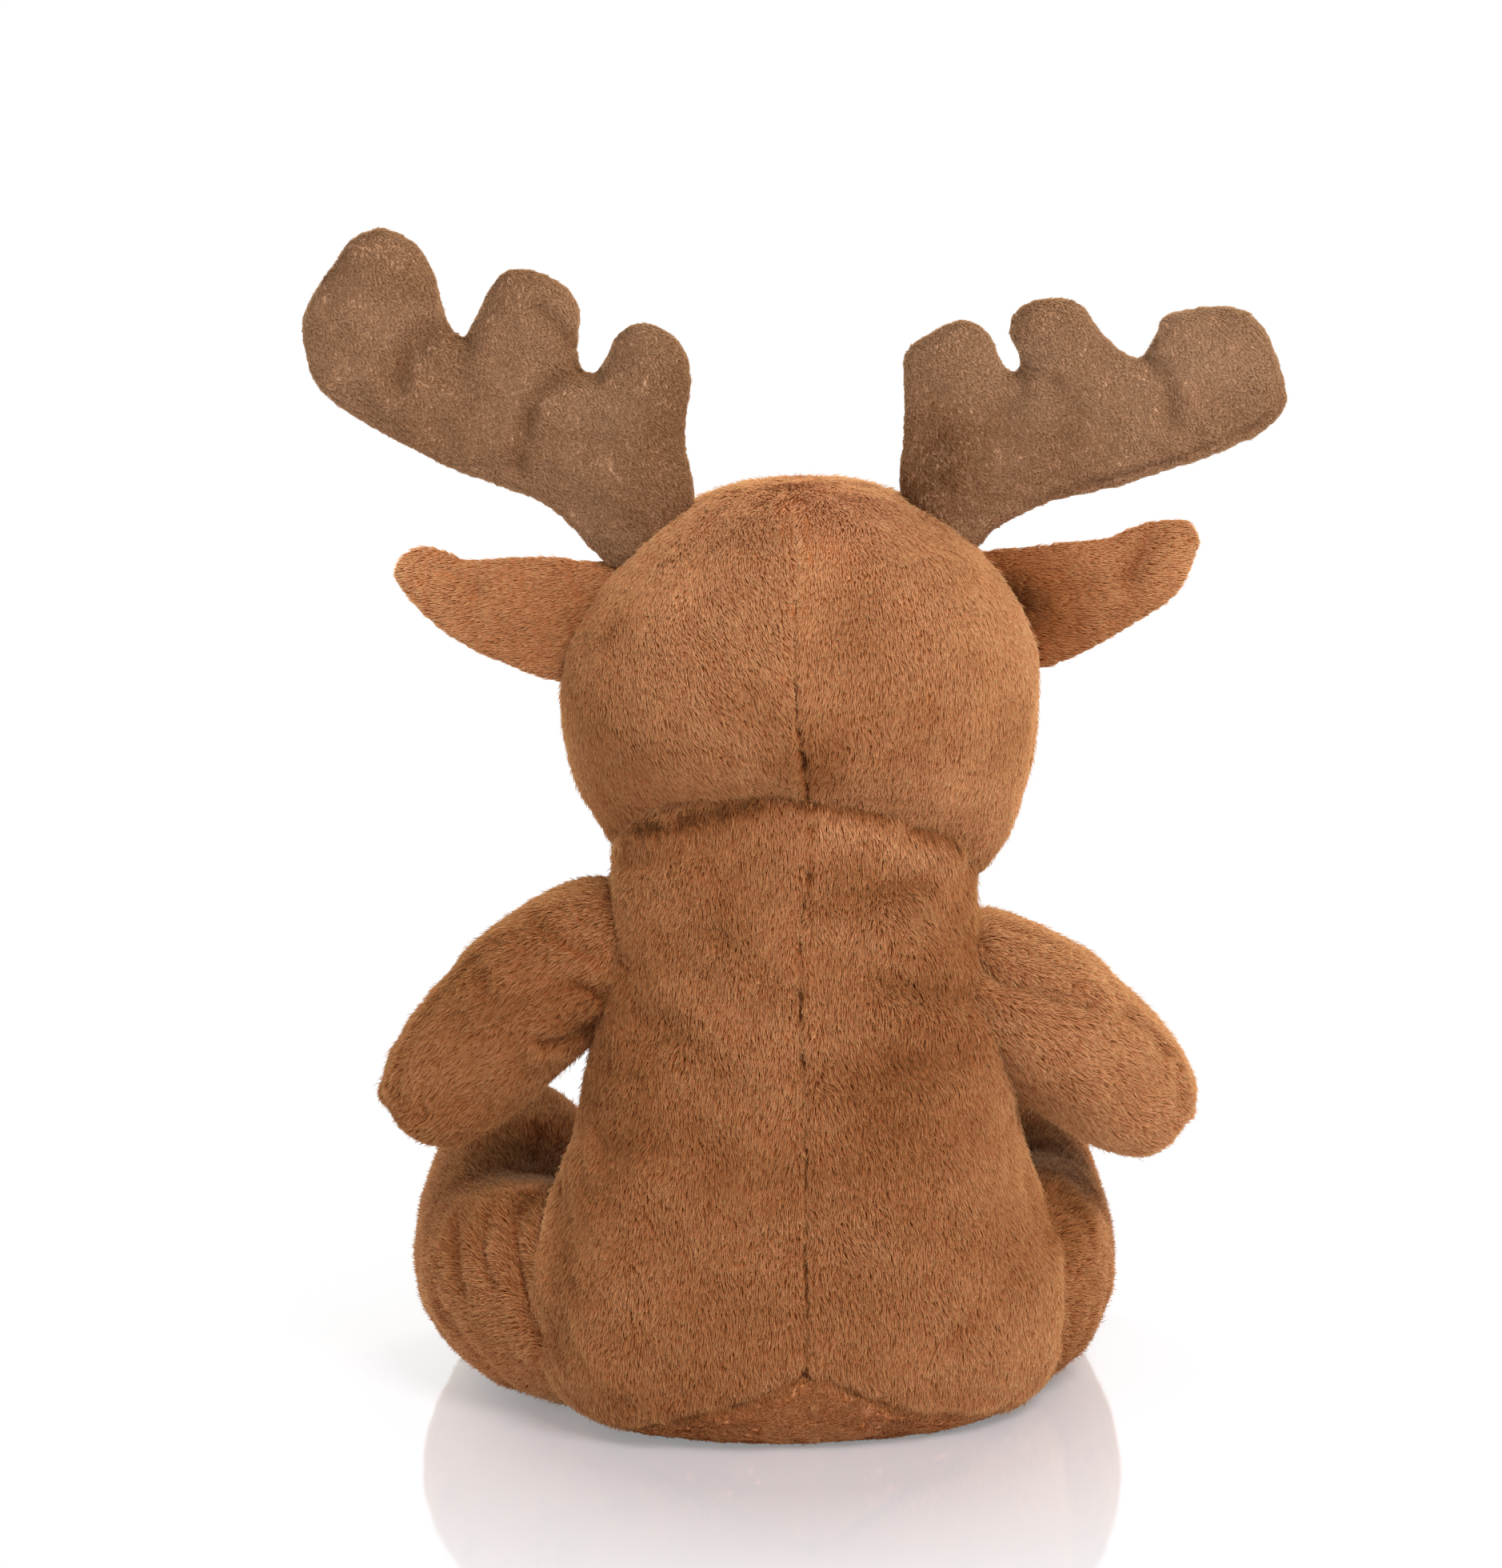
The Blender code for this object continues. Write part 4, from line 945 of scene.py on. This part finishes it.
# Painted shade and painted highlights, for how the light falls on the pile as it lies: across, height, radius
# and amount
TORSO_PAINTED_LIGHT = [
    (-22, 92, 16, 0.13), (8, 42, 20, 0.1), (-12, 38, 14, 0.06), (18, 115, 16, -0.1), (-42, 128, 9, 0.12),
    (-52, 116, 7, -0.1), (-10, 157.5, 6, -0.14), (-22, 154.5, 7, -0.18), (-34, 150, 7, -0.12),
    (44, 14, 18, 0.1), (46, 42, 18, -0.06), (-56, 50, 12, 0.12), (24, 150, 16, 0.05), (46, 118, 18, 0.15),
    (46, 92, 18, 0.13), (50, 68, 18, 0.12), (10, 76, 16, 0.08), (-14, 96, 12, 0.1), (-14, 150, 9, 0.12),
    (26, 38, 26, 0.06),
]
HEAD_PAINTED_LIGHT = [
    (-7, 176, 9, 0.16), (1, 177, 9, 0.1), (-5, 180, 16, 0.1), (50, 192, 26, 0.17), (30, 172, 24, 0.12),
    (-30, 180, 14, 0.1), (44, 210, 12, 0.1), (-16, 206, 11, 0.16), (10, 194, 13, 0.12),
    (52, 158, 16, 0.2), (-54, 172, 12, 0.14), (-54, 184, 7, 0.12), (-34, 210, 14, -0.12),
    (20, 228, 18, -0.16), (-12, 236, 14, -0.26), (32, 196, 12, -0.07), (-38, 166, 12, -0.06),
    (34, 215, 14, -0.06), (20, 160, 18, 0.08), (-26, 158, 12, 0.08),
]
ANTLER_PAINTED_LIGHT = {
    "left": [
        (30, 240, 14, 0.08), (86, 254, 12, 0.1), (56, 240, 14, 0.07), (72, 268, 10, -0.05),
        (84, 272, 8, 0.05), (104, 288, 14, -0.06), (40, 262, 12, -0.06), (62, 284, 8, -0.05),
        (100, 262, 12, 0.06),
    ],
    "right": [
        (-36, 246, 11, 0.26), (-34, 232, 10, 0.3), (-46, 248, 10, 0.16), (-62, 266, 12, -0.22),
        (-44, 268, 8, -0.05), (-96, 272, 12, -0.16), (-72, 242, 10, 0.1), (-84, 254, 14, -0.1),
        (-110, 264, 16, -0.12), (-62, 277, 6, 0.12),
    ],
}
EAR_PAINTED_LIGHT = {
    "left": [(50, 203, 10, 0.12), (84, 214, 12, -0.1), (92, 222, 8, -0.12)],
    "right": [
        (-54, 206, 12, 0.46), (-66, 200, 12, 0.2), (-86, 208, 10, 0.12), (-78, 214, 12, -0.1),
        (-97, 214, 12, -0.18),
    ],
}
# Where the legs' tops lie in the shade of the belly: place, radius and amount
LEG_HOLLOWS = {
    "left": [((64, -40, 58), 26, 0.42), ((52, -12, 54), 16, 0.26)],
    "right": [((-46, -40, 58), 26, 0.42), ((-46, -12, 54), 16, 0.26)],
}
LIMB_FOLDS = {
    "arm_left": [
        ([(50.5, 123.6), (58.1, 125.8), (64, 129.9)], 0.9, 1.8),
        ([(49, 112.6), (55.4, 115.6), (63.2, 113.1), (71, 111)], 1.1, 2.2),
        ([(50, 105.8), (57.6, 101.6), (64, 101.1)], 1.5, 2.2),
        ([(80.6, 120.9), (77.5, 113.8), (75, 108)], 0.9, 2.4),
        ([(74, 124.7), (87.6, 114.1), (95.9, 101), (101.5, 87)], 0.7, 1.5),
    ],
    "arm_right": [
        ([(-44, 117), (-51.4, 112.1), (-57.5, 110.4), (-64.3, 107), (-71, 104.6)], 2.3, 2.0),
        ([(-50, 125.4), (-69.1, 116.9), (-80.5, 109.3), (-88.1, 100.4), (-93.2, 87.5), (-94, 76)], 0.7, 1.5),
        ([(-80, 101), (-86, 95.5), (-91, 89)], 0.9, 1.6),
    ],
    "leg_left": [
        ([(86, 52), (89.3, 44), (87.6, 33)], 1.0, 2.0),
        ([(70, 57), (73.6, 47), (71, 36), (67, 24)], 1.7, 2.4),
        ([(80, 50), (81.5, 43), (79, 36)], 0.8, 1.7), ([(94.2, 26.9), (86.3, 17), (76.4, 6)], 0.7, 1.8),
    ],
    "leg_right": [
        ([(-62, 60), (-68, 54.5), (-73, 48), (-75, 40), (-76, 32.5), (-75, 24), (-72, 16.5)], -1.1, 1.8),
        ([(-64, 52), (-69, 46), (-71.5, 40)], 0.8, 1.8),
        ([(-78.6, 46), (-79.4, 38), (-79, 29)], 0.8, 1.2),
    ],
}
# Small corners where the seams of an arm end, and the dent in the top of a leg: place, radius and way
LIMB_PUSHES = {
    "arm_left": [((103, -14, 83), 3.2, (2.4, 0, -0.6))],
    "arm_right": [((-98, -14, 70), 3.2, (-2.2, 0, -0.8))],
    "leg_left": [((62, -36, 58), 20, (0, 0, -6)), ((60, -8, 20), 12, (-1, 3, -2))],
    "leg_right": [((-46, -36, 58), 18, (0, 0, -6))],
}
# Painted shade and painted highlights on the limbs: across, height, radius and amount
LIMB_PAINTED_LIGHT = {
    "arm_left": [(50, 102, 9, 0.14), (96, 92, 8, -0.06), (52, 130, 8, -0.1)],
    "arm_right": [(-50, 118, 9, -0.12), (-86, 78, 12, -0.08), (-66, 86, 12, 0.06), (-54, 84, 8, 0.14)],
    "leg_left": [(62, 56, 8, 0.1), (92, 30, 12, -0.05)],
    "leg_right": [(-79, 40, 7, -0.3), (-78, 26, 7, -0.16), (-64, 46, 10, 0.14)],
}
SKIN_SHARE = 1.0
# A seam's line: its points for each point given, how far out its rays start, and how proud it lies
SEAM_FINENESS = 7
RAY_START = 0.3
SEAM_PROUD_SHARE = 0.7


def seam_line(name, skin, line, body_name, radius=0.2, facing=1):
    """The line where two panels are sewn together, laid in its groove, behind or in front."""
    corners = [point.co for point in skin.data.vertices]
    tree = BVHTree.FromPolygons(corners, [face.vertices for face in skin.data.polygons])
    points = []
    for across, height in smooth_rows(line, len(line) * SEAM_FINENESS) * MM:
        start = Vector((across, RAY_START * facing, height))
        place, normal, _, _ = tree.ray_cast(start, Vector((0, -facing, 0)))
        if place is not None:
            points.append(place + normal * (radius * SEAM_PROUD_SHARE * MM))
    curve = bpy.data.curves.new(name, "CURVE")
    curve.dimensions = "3D"
    curve.bevel_depth = radius * MM
    curve.bevel_resolution = 1
    curve.use_fill_caps = True
    spline = curve.splines.new("POLY")
    spline.points.add(len(points) - 1)
    for corner, point in zip(spline.points, points):
        corner.co = (*point, 1)
    curve.materials.append(SEAM_CLOTH)
    seam = add_object(name, curve)
    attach(seam, body_name)


# The torso is held at its seams, at both ends and where the arms are sewn on, in mm
TORSO_SEAM_HELD = 3.0
TORSO_LOW = 2
TORSO_HIGH = 150
SHOULDER_OUT = 40
SHOULDER_HEIGHT = 122
SHOULDER_REACH = 14
SHOULDER_DEPTH = 16
# The head is held at its back seam and below a slanted line, in mm
HEAD_SEAM_HELD = 2.6
HEAD_LOW = 145
HEAD_SLANT = 0.5
# How high the seat gusset reaches in front, in mm, and how low a skin may reach
GUSSET_TOP = 3.0
FLOOR_CLEAR = 0.6 * MM


def make_torso():
    around, along = int(76 * SKIN_SHARE), int(68 * SKIN_SHARE)
    skin = outward(loft("torso_skin", upright_rings(TORSO_ROWS, around, along)))
    press_lines(skin, TORSO_CREASES, 1)

    def held(points):
        far = np.minimum(from_behind(points, BACK_SEAM[4:], 1), from_behind(points, SEAT_SEAM, 1))
        sideways = np.abs(points[:, 0]) / MM > SHOULDER_OUT
        level = np.abs(points[:, 2] / MM - SHOULDER_HEIGHT) < SHOULDER_REACH
        shoulder = sideways & level & (np.abs(points[:, 1]) < SHOULDER_DEPTH * MM)
        ends = (points[:, 2] < TORSO_LOW * MM) | (points[:, 2] > TORSO_HIGH * MM)
        return (far < TORSO_SEAM_HELD) | shoulder | ends
    blow_up(skin, pressure=4, frames=18, cap=2.6 * MM, held=held, slack=0.008)
    refine(skin, 2)
    ripple(skin, size=0.03, amount=0.0007, seed=1)
    press_lines(skin, [(BACK_SEAM[4:], 1.0, 1.5), (SEAT_SEAM[1:-1], 0.7, 1.8)], 1)
    flat_on_floor(skin)
    seams = [(BACK_SEAM, 1, 0.8, 0.75), (SEAT_SEAM, 1, 1.2, 0.15), (NECK_SEAM, 1, 2.6, 0.2)]
    marks = pile_marks(seams, TORSO_WHORLS, TORSO_CREASES, TORSO_PAINTED_LIGHT)
    seam_line("back_seam_line", skin, BACK_SEAM[4:], "torso")
    seam_line("seat_seam_line", skin, SEAT_SEAM[1:-1], "torso")
    gusset = split_off(skin, "seat_gusset_skin", under_seat_seam)
    finish_piece(skin, "brown", "torso", [
        "back_panel_left", "back_panel_right", "belly_panel", "pellet_pouch", "torso_stuffing",
    ])
    finish_piece(gusset, "brown", "torso", ["seat_gusset"])
    # Both piles are darkened by a painted shade
    grow_fur(skin, PLUSH_PILE, STRANDS["brown"], parted(LAY_DOWN, TORSO_WHORLS), SEED, marks, shade=-0.22)
    grow_fur(gusset, GUSSET_PILE, STRANDS["brown"], lay_under, SEED + 8, marks, shade=-0.3)


def under_seat_seam(centres):
    """Whether a face lies below the seam of the seat gusset."""
    line = np.array(sorted(SEAT_SEAM))
    limit = np.interp(centres[:, 0] / MM, line[:, 0], line[:, 1])
    behind = centres[:, 2] / MM < limit
    return np.where(centres[:, 1] > 0, behind, centres[:, 2] / MM < GUSSET_TOP)


def flat_on_floor(skin):
    points = positions(skin)
    points[:, 2] = np.maximum(points[:, 2], FLOOR_CLEAR)
    set_positions(skin, points)


def make_head():
    around, along = int(72 * SKIN_SHARE), int(52 * SKIN_SHARE)
    skin = outward(loft("head_skin", upright_rings(HEAD_ROWS, around, along)))

    def held(points):
        far = from_behind(points, BACK_SEAM[:5], 1)
        return (far < HEAD_SEAM_HELD) | (points[:, 2] < HEAD_LOW * MM + points[:, 1] * HEAD_SLANT)
    blow_up(skin, pressure=4, frames=10, cap=1.2 * MM, held=held)
    refine(skin, 2)
    ripple(skin, size=0.034, amount=0.0007, seed=2)
    press_lines(skin, [(BACK_SEAM[:5], 0.8, 1.4)], 1)
    finish_piece(skin, "brown", "head", [
        "head_back_left", "head_back_right", "face_panel_left", "face_panel_right", "head_stuffing",
    ])
    marks = head_overhang(pile_marks([(BACK_SEAM, 1, 0.8, 0.75)], HEAD_WHORLS, (), HEAD_PAINTED_LIGHT))
    seam_line("head_seam_line", skin, BACK_SEAM[:5], "head")
    seam_line("face_seam_line", skin, FACE_SEAM, "head", facing=-1)
    grow_fur(skin, HEAD_PILE, STRANDS["brown"], parted(lay_head, HEAD_WHORLS), SEED + 1, marks, shade=-0.04)


# The head's pile stands out more and is painted darker, as painted shade in the neck's groove, this near the
# neck seam, in mm
OVERHANG_REACH = 5
OVERHANG_STAND = 0.7
OVERHANG_SHADE = 0.14
# It also stands out more on the crown, from this height up, and in full this much higher
STANDING_FROM = 222 * MM
STANDING_REACH = 14 * MM
CROWN_STAND = 0.12


def head_overhang(marks):
    """The marks of the head, with pile that stands out over the neck seam and on the crown, and painted shade
    by the neck seam.
    """
    def fuller(place, normal):
        short, upright, deep = marks(place, normal)
        near = np.exp(-(from_behind(place, NECK_SEAM, 1, normal) / OVERHANG_REACH) ** 2)
        crown = np.clip((place[:, 2] - STANDING_FROM) / STANDING_REACH, 0, 1)
        return short, upright + OVERHANG_STAND * near + CROWN_STAND * crown, deep + OVERHANG_SHADE * near
    return fuller


def make_muzzle():
    """The pale muzzle with its stitched mouth, on the side that the photograph doesn't show."""
    around, along = int(72 * SKIN_SHARE), int(60 * SKIN_SHARE)
    skin = outward(loft("muzzle_skin", tube_rings(MUZZLE_ROWS, around, along, np.array([0, 0, 1.0]))))
    refine(skin)
    finish_piece(skin, "pale", "head", ["muzzle_upper", "muzzle_chin", "muzzle_stuffing"])
    for name, line in MOUTH_LINES.items():
        seam_line(name, skin, line, "head", radius=0.55, facing=-1)
    marks = pile_marks([(line, -1, 1.0, 0.7) for line in MOUTH_LINES.values()])
    grow_fur(skin, MUZZLE_PILE, STRANDS["pale"], lay_along((0, -90, 180), (0, -40, 178)), SEED + 2, marks)


def make_limb(name, body_name, rows, nodes, up, droop, seed, root_side, shade):
    """An arm or a leg: a loft that is blown up, held where it is sewn on."""
    around, along = int(48 * SKIN_SHARE), int(40 * SKIN_SHARE)
    skin = outward(loft(name, tube_rings(rows, around, along, np.array(up))))
    root, end = np.array(rows[1][:3]), np.array(rows[-1][:3])

    def held(points):
        return np.linalg.norm(points - root * MM, axis=1) < root_side * MM
    blow_up(skin, pressure=4, frames=14, cap=1.6 * MM, held=held, slack=0.006)
    refine(skin, 2)
    ripple(skin, size=0.03, amount=0.0005, seed=seed)
    for place, radius, way in LIMB_PUSHES[body_name]:
        push(skin, place, radius, way)
    press_lines(skin, LIMB_FOLDS[body_name], 1)
    flat_on_floor(skin)
    finish_piece(skin, "brown", body_name, nodes)
    hollows = LEG_HOLLOWS[body_name[4:]] if body_name.startswith("leg") else ()
    marks = pile_marks((), (), LIMB_FOLDS[body_name], LIMB_PAINTED_LIGHT[body_name], hollows)
    if hollows:
        marks = clear_of_sole(marks)
    lay = lay_along(root, end, droop)
    grow_fur(skin, LIMB_PILE, STRANDS["brown"], lay, SEED + seed, marks, shade, end - root)


# A sole covers its foot from here forward, where the foot's skin faces ahead by more than this
SOLE_FROM = -95 * MM
SOLE_FACING = -0.5
# There the foot's pile is cut to this share
COVERED_SHARE = 0.12


def clear_of_sole(marks):
    """The marks of a leg, with its pile cut short where the sole is sewn over the foot."""
    def cut(place, normal):
        short, upright, deep = marks(place, normal)
        covered = (place[:, 1] < SOLE_FROM) & (normal[:, 1] < SOLE_FACING)
        return np.where(covered, COVERED_SHARE, short), upright, deep
    return cut


# Painted shade: the pile of each side is darkened for the way it catches the light
ARM_SHADES = {"left": -0.36, "right": -0.1}
LEG_SHADES = {"left": -0.26, "right": -0.32}
EAR_SHADES = {"left": -0.13, "right": -0.17}


def make_limbs():
    for number, side in enumerate(("left", "right")):
        arm, leg = "arm_" + side, "leg_" + side
        make_limb(arm + "_skin", arm, ARM_ROWS[side], [arm + "_front", arm + "_back", arm + "_stuffing"],
                  (0, -1.0, 0), 0.0, 3 + number, 20, ARM_SHADES[side])
        make_limb(leg + "_skin", leg, LEG_ROWS[side], [leg + "_upper", leg + "_lower", leg + "_stuffing"],
                  (0, 0, 1.0), 0.2, 13 + number, 28, LEG_SHADES[side])
        make_sole(side, LEG_ROWS[side][-2])


# Rings of a sole from its edge to its middle: share of its size, and place in mm, less is further forward
SOLE_RINGS = [(1.0, 0.6), (1.02, -1.0), (0.97, -2.2), (0.8, -3.2), (0.5, -3.9), (0.15, -4.2), (0.02, -4.22)]
# A sole's size as a share of the foot's
SOLE_SHARE = 0.97


def make_sole(side, row):
    """A velour oval sewn over the end of the foot."""
    across, deep, height, half_width, half_height = row
    angles = np.linspace(0, 2 * math.pi, int(96 * SKIN_SHARE), endpoint=False)
    rings = []
    for reach, lift in SOLE_RINGS:
        rings.append(np.stack([
            across + half_width * SOLE_SHARE * reach * np.cos(angles), np.full(len(angles), deep + lift),
            height + half_height * SOLE_SHARE * reach * np.sin(angles)], axis=1))
    skin = outward(loft(f"sole_{side}_skin", np.array(rings) * MM))
    refine(skin)
    finish_piece(skin, "taupe", "leg_" + side, [f"leg_{side}_sole"])
    grow_fur(skin, VELOUR_PILE, STRANDS["taupe"], LAY_DOWN, SEED + 20)


# How far apart the points of a flat bag lie, and how thick it is on each side, in mm
FLAT_SPACING = 1.5
ANTLER_PUFF = 7.5
EAR_PUFF = 3.0
# An ear is lined where its skin lies further forward than this
LINING_FROM = -0.4 * MM


def make_flat_pieces():
    """The antlers and the ears: flat bags that are blown up, held at their rims."""
    for side, turn in (("left", 1), ("right", -1)):
        antler = pillow(f"antler_{side}_skin", ANTLER_OUTLINES[side], FLAT_SPACING, ANTLER_PUFF)
        blow_up(antler, pressure=4, frames=14, cap=2.5 * MM, held=on_rim, slack=0.02)
        refine(antler)
        press_lines(antler, ANTLER_CREASES[side], 1, True)
        press_lines(antler, ANTLER_CREASES[side], -1, True)
        finish_piece(antler, "taupe", "antler_" + side, [
            f"antler_{side}_front", f"antler_{side}_back", f"antler_{side}_stuffing"])
        marks = pile_marks((), (), ANTLER_CREASES[side], ANTLER_PAINTED_LIGHT[side])
        aslant = lay_straight(SLANT)
        grow_fur(antler, VELOUR_PILE, STRANDS["taupe"], aslant, SEED + 5, marks, shade=-0.1, grain=SLANT)
        ear = pillow(f"ear_{side}_back_skin", EAR_OUTLINES[side], FLAT_SPACING, EAR_PUFF)
        blow_up(ear, pressure=2.5, frames=12, cap=1.5 * MM, held=on_rim, slack=0.01)
        refine(ear)
        press_lines(ear, EAR_CREASES[side], 1, True)
        lining = split_off(ear, f"ear_{side}_lining_skin", lambda centres: centres[:, 1] < LINING_FROM)
        finish_piece(ear, "brown", "ear_" + side, [f"ear_{side}_back"])
        finish_piece(lining, "taupe", "ear_" + side, [f"ear_{side}_lining"])
        away = lay_along((50 * turn, 0, 205), (98 * turn, 0, 212), droop=0.25)
        marks = pile_marks((), (), EAR_CREASES[side], EAR_PAINTED_LIGHT[side])
        grow_fur(ear, EAR_PILE, STRANDS["brown"], away, SEED + 6, marks, EAR_SHADES[side], (turn, 0, 0.14))
        grow_fur(lining, VELOUR_PILE, STRANDS["taupe"], away, SEED + 7)


# Corners of a fitting this close together are one
MERGE_DISTANCE = 0.01 * MM


def moulded_cap(name, material):
    """A smooth cap and stem in place of a faceted fitting."""
    body = bmesh.new()
    body.from_mesh(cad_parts[name].data)
    bmesh.ops.remove_doubles(body, verts=body.verts, dist=MERGE_DISTANCE)
    points = [point.co.copy() for point in body.verts]
    faces = [[corner.index for corner in face.verts] for face in body.faces]
    body.free()
    cap = outward(mesh_object(name + "_cap", points, faces))
    refine(cap, 2)
    cap.data.materials.append(material)
    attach(cap, "head")
    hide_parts(name)


def dress_fittings():
    """Smooth eyes and nose; the washers behind the cloth keep their solids."""
    black = plastic_material("black_eye_plastic", rgb(14, 12, 12), 0.12)
    brown = plastic_material("nose_plastic_dark", rgb(46, 30, 24), 0.32)
    clear = plastic_material("washer_plastic_pale", rgb(225, 225, 222), 0.5)
    moulded_cap("eye_left", black)
    moulded_cap("eye_right", black)
    moulded_cap("nose", brown)
    for name in ("eye_left_washer", "eye_right_washer", "nose_washer"):
        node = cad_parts[name]
        node.data.materials.clear()
        node.data.materials.append(clear)


# Floor, light and camera

FLOOR_REACH = 3.0
# The mirror image fades into plain white between these distances from the origin, in metres
MIRROR_FROM = 0.07
MIRROR_TO = 0.21
# Lamps: place, power, size and colour, all aimed at one place
LAMPS = {
    "key": ((-0.7, 1.4, 1.5), 41, 0.8, (1.0, 0.97, 0.95)),
    "fill": ((1.3, 1.1, 0.7), 7, 1.2, (0.84, 0.92, 1.0)),
    "back_left": ((0.75, -1.35, 0.85), 18, 0.8, (1.0, 0.95, 0.74)),
    "back_right": ((-0.75, -1.35, 0.8), 18, 0.8, (1.0, 0.95, 0.74)),
}
LAMP_AIM = Vector((0, 0, 0.15))


def make_stage():
    """A glossy white floor: it mirrors the deer nearby and is plain white beyond."""
    low, high = -FLOOR_REACH, FLOOR_REACH
    corners = [(low, low, 0), (high, low, 0), (high, high, 0), (low, high, 0)]
    floor = mesh_object("floor", corners, [(0, 1, 2, 3)])
    material, tree = new_material("floor_white")
    seen = add_node(tree, "LightPath").outputs["Is Camera Ray"]
    white = add_node(tree, "Emission").outputs["Emission"]
    matt = add_node(tree, "BsdfDiffuse", {"Color": (0.88, 0.85, 0.93, 1)})
    mirror = add_node(tree, "BsdfGlossy", {"Color": WHITE, "Roughness": 0.06})
    lit = add_node(tree, "Math", {0: seen, 1: 0.42}, operation="MULTIPLY")
    pale = mix_shaders(tree, lit.outputs["Value"], matt.outputs["BSDF"], white)
    gloss = mix_shaders(tree, 0.4, pale, mirror.outputs["BSDF"])
    place = add_node(tree, "NewGeometry")
    length = add_node(tree, "VectorMath", {0: place.outputs["Position"]}, operation="LENGTH")
    beyond = add_node(tree, "MapRange", {
        "Value": length.outputs["Value"], "From Min": MIRROR_FROM, "From Max": MIRROR_TO})
    both = add_node(tree, "Math", {0: beyond.outputs["Result"], 1: seen}, operation="MULTIPLY")
    whole = mix_shaders(tree, both.outputs["Value"], gloss, white)
    add_node(tree, "OutputMaterial", {"Surface": whole})
    floor.data.materials.append(material)


def make_world():
    """A room that is white where it is seen or mirrored, and lights the deer softly."""
    world = bpy.data.worlds.new("white_room")
    bpy.context.scene.world = world
    world.use_nodes = True
    tree = world.node_tree
    tree.nodes.clear()
    light = add_node(tree, "Background", {"Color": WHITE, "Strength": 0.37})
    seen = add_node(tree, "Background", {"Color": WHITE, "Strength": 1.0})
    path = add_node(tree, "LightPath").outputs
    either = add_node(
        tree, "Math", {0: path["Is Camera Ray"], 1: path["Is Glossy Ray"]}, operation="MAXIMUM")
    room = mix_shaders(
        tree, either.outputs["Value"], light.outputs["Background"], seen.outputs["Background"])
    add_node(tree, "OutputWorld", {"Surface": room})


def add_lamp(name, place, power, size, colour):
    lamp = bpy.data.lights.new(name, "AREA")
    lamp.energy = power
    lamp.size = size
    lamp.color = colour
    thing = add_object(name, lamp)
    thing.location = place
    thing.rotation_euler = (LAMP_AIM - Vector(place)).to_track_quat("-Z", "Y").to_euler()


def make_camera():
    """The camera behind the deer, aimed a little down and rolled as in the photograph."""
    data = bpy.data.cameras.new("camera")
    data.sensor_width = SENSOR_WIDTH
    data.lens = SENSOR_WIDTH * FOCAL_PIXELS / PHOTO_HEIGHT
    camera = add_object("camera", data)
    ahead = Vector((0, -math.cos(CAMERA_ELEVATION), -math.sin(CAMERA_ELEVATION)))
    right = Vector((-1, 0, 0))
    up = Vector((0, -math.sin(CAMERA_ELEVATION), math.cos(CAMERA_ELEVATION)))
    screen_right = right * math.cos(CAMERA_ROLL) - up * math.sin(CAMERA_ROLL)
    screen_up = right * math.sin(CAMERA_ROLL) + up * math.cos(CAMERA_ROLL)
    turn = Matrix((screen_right, screen_up, -ahead)).transposed().to_4x4()
    camera.matrix_world = Matrix.Translation(CAMERA_TARGET - ahead * CAMERA_DISTANCE) @ turn
    bpy.context.scene.camera = camera


make_camera()
make_world()
make_stage()
for lamp_name, lamp_values in LAMPS.items():
    add_lamp(lamp_name, *lamp_values)
make_torso()
make_head()
make_muzzle()
make_limbs()
make_flat_pieces()
dress_fittings()

view = bpy.context.scene.view_settings
view.view_transform = "Standard"
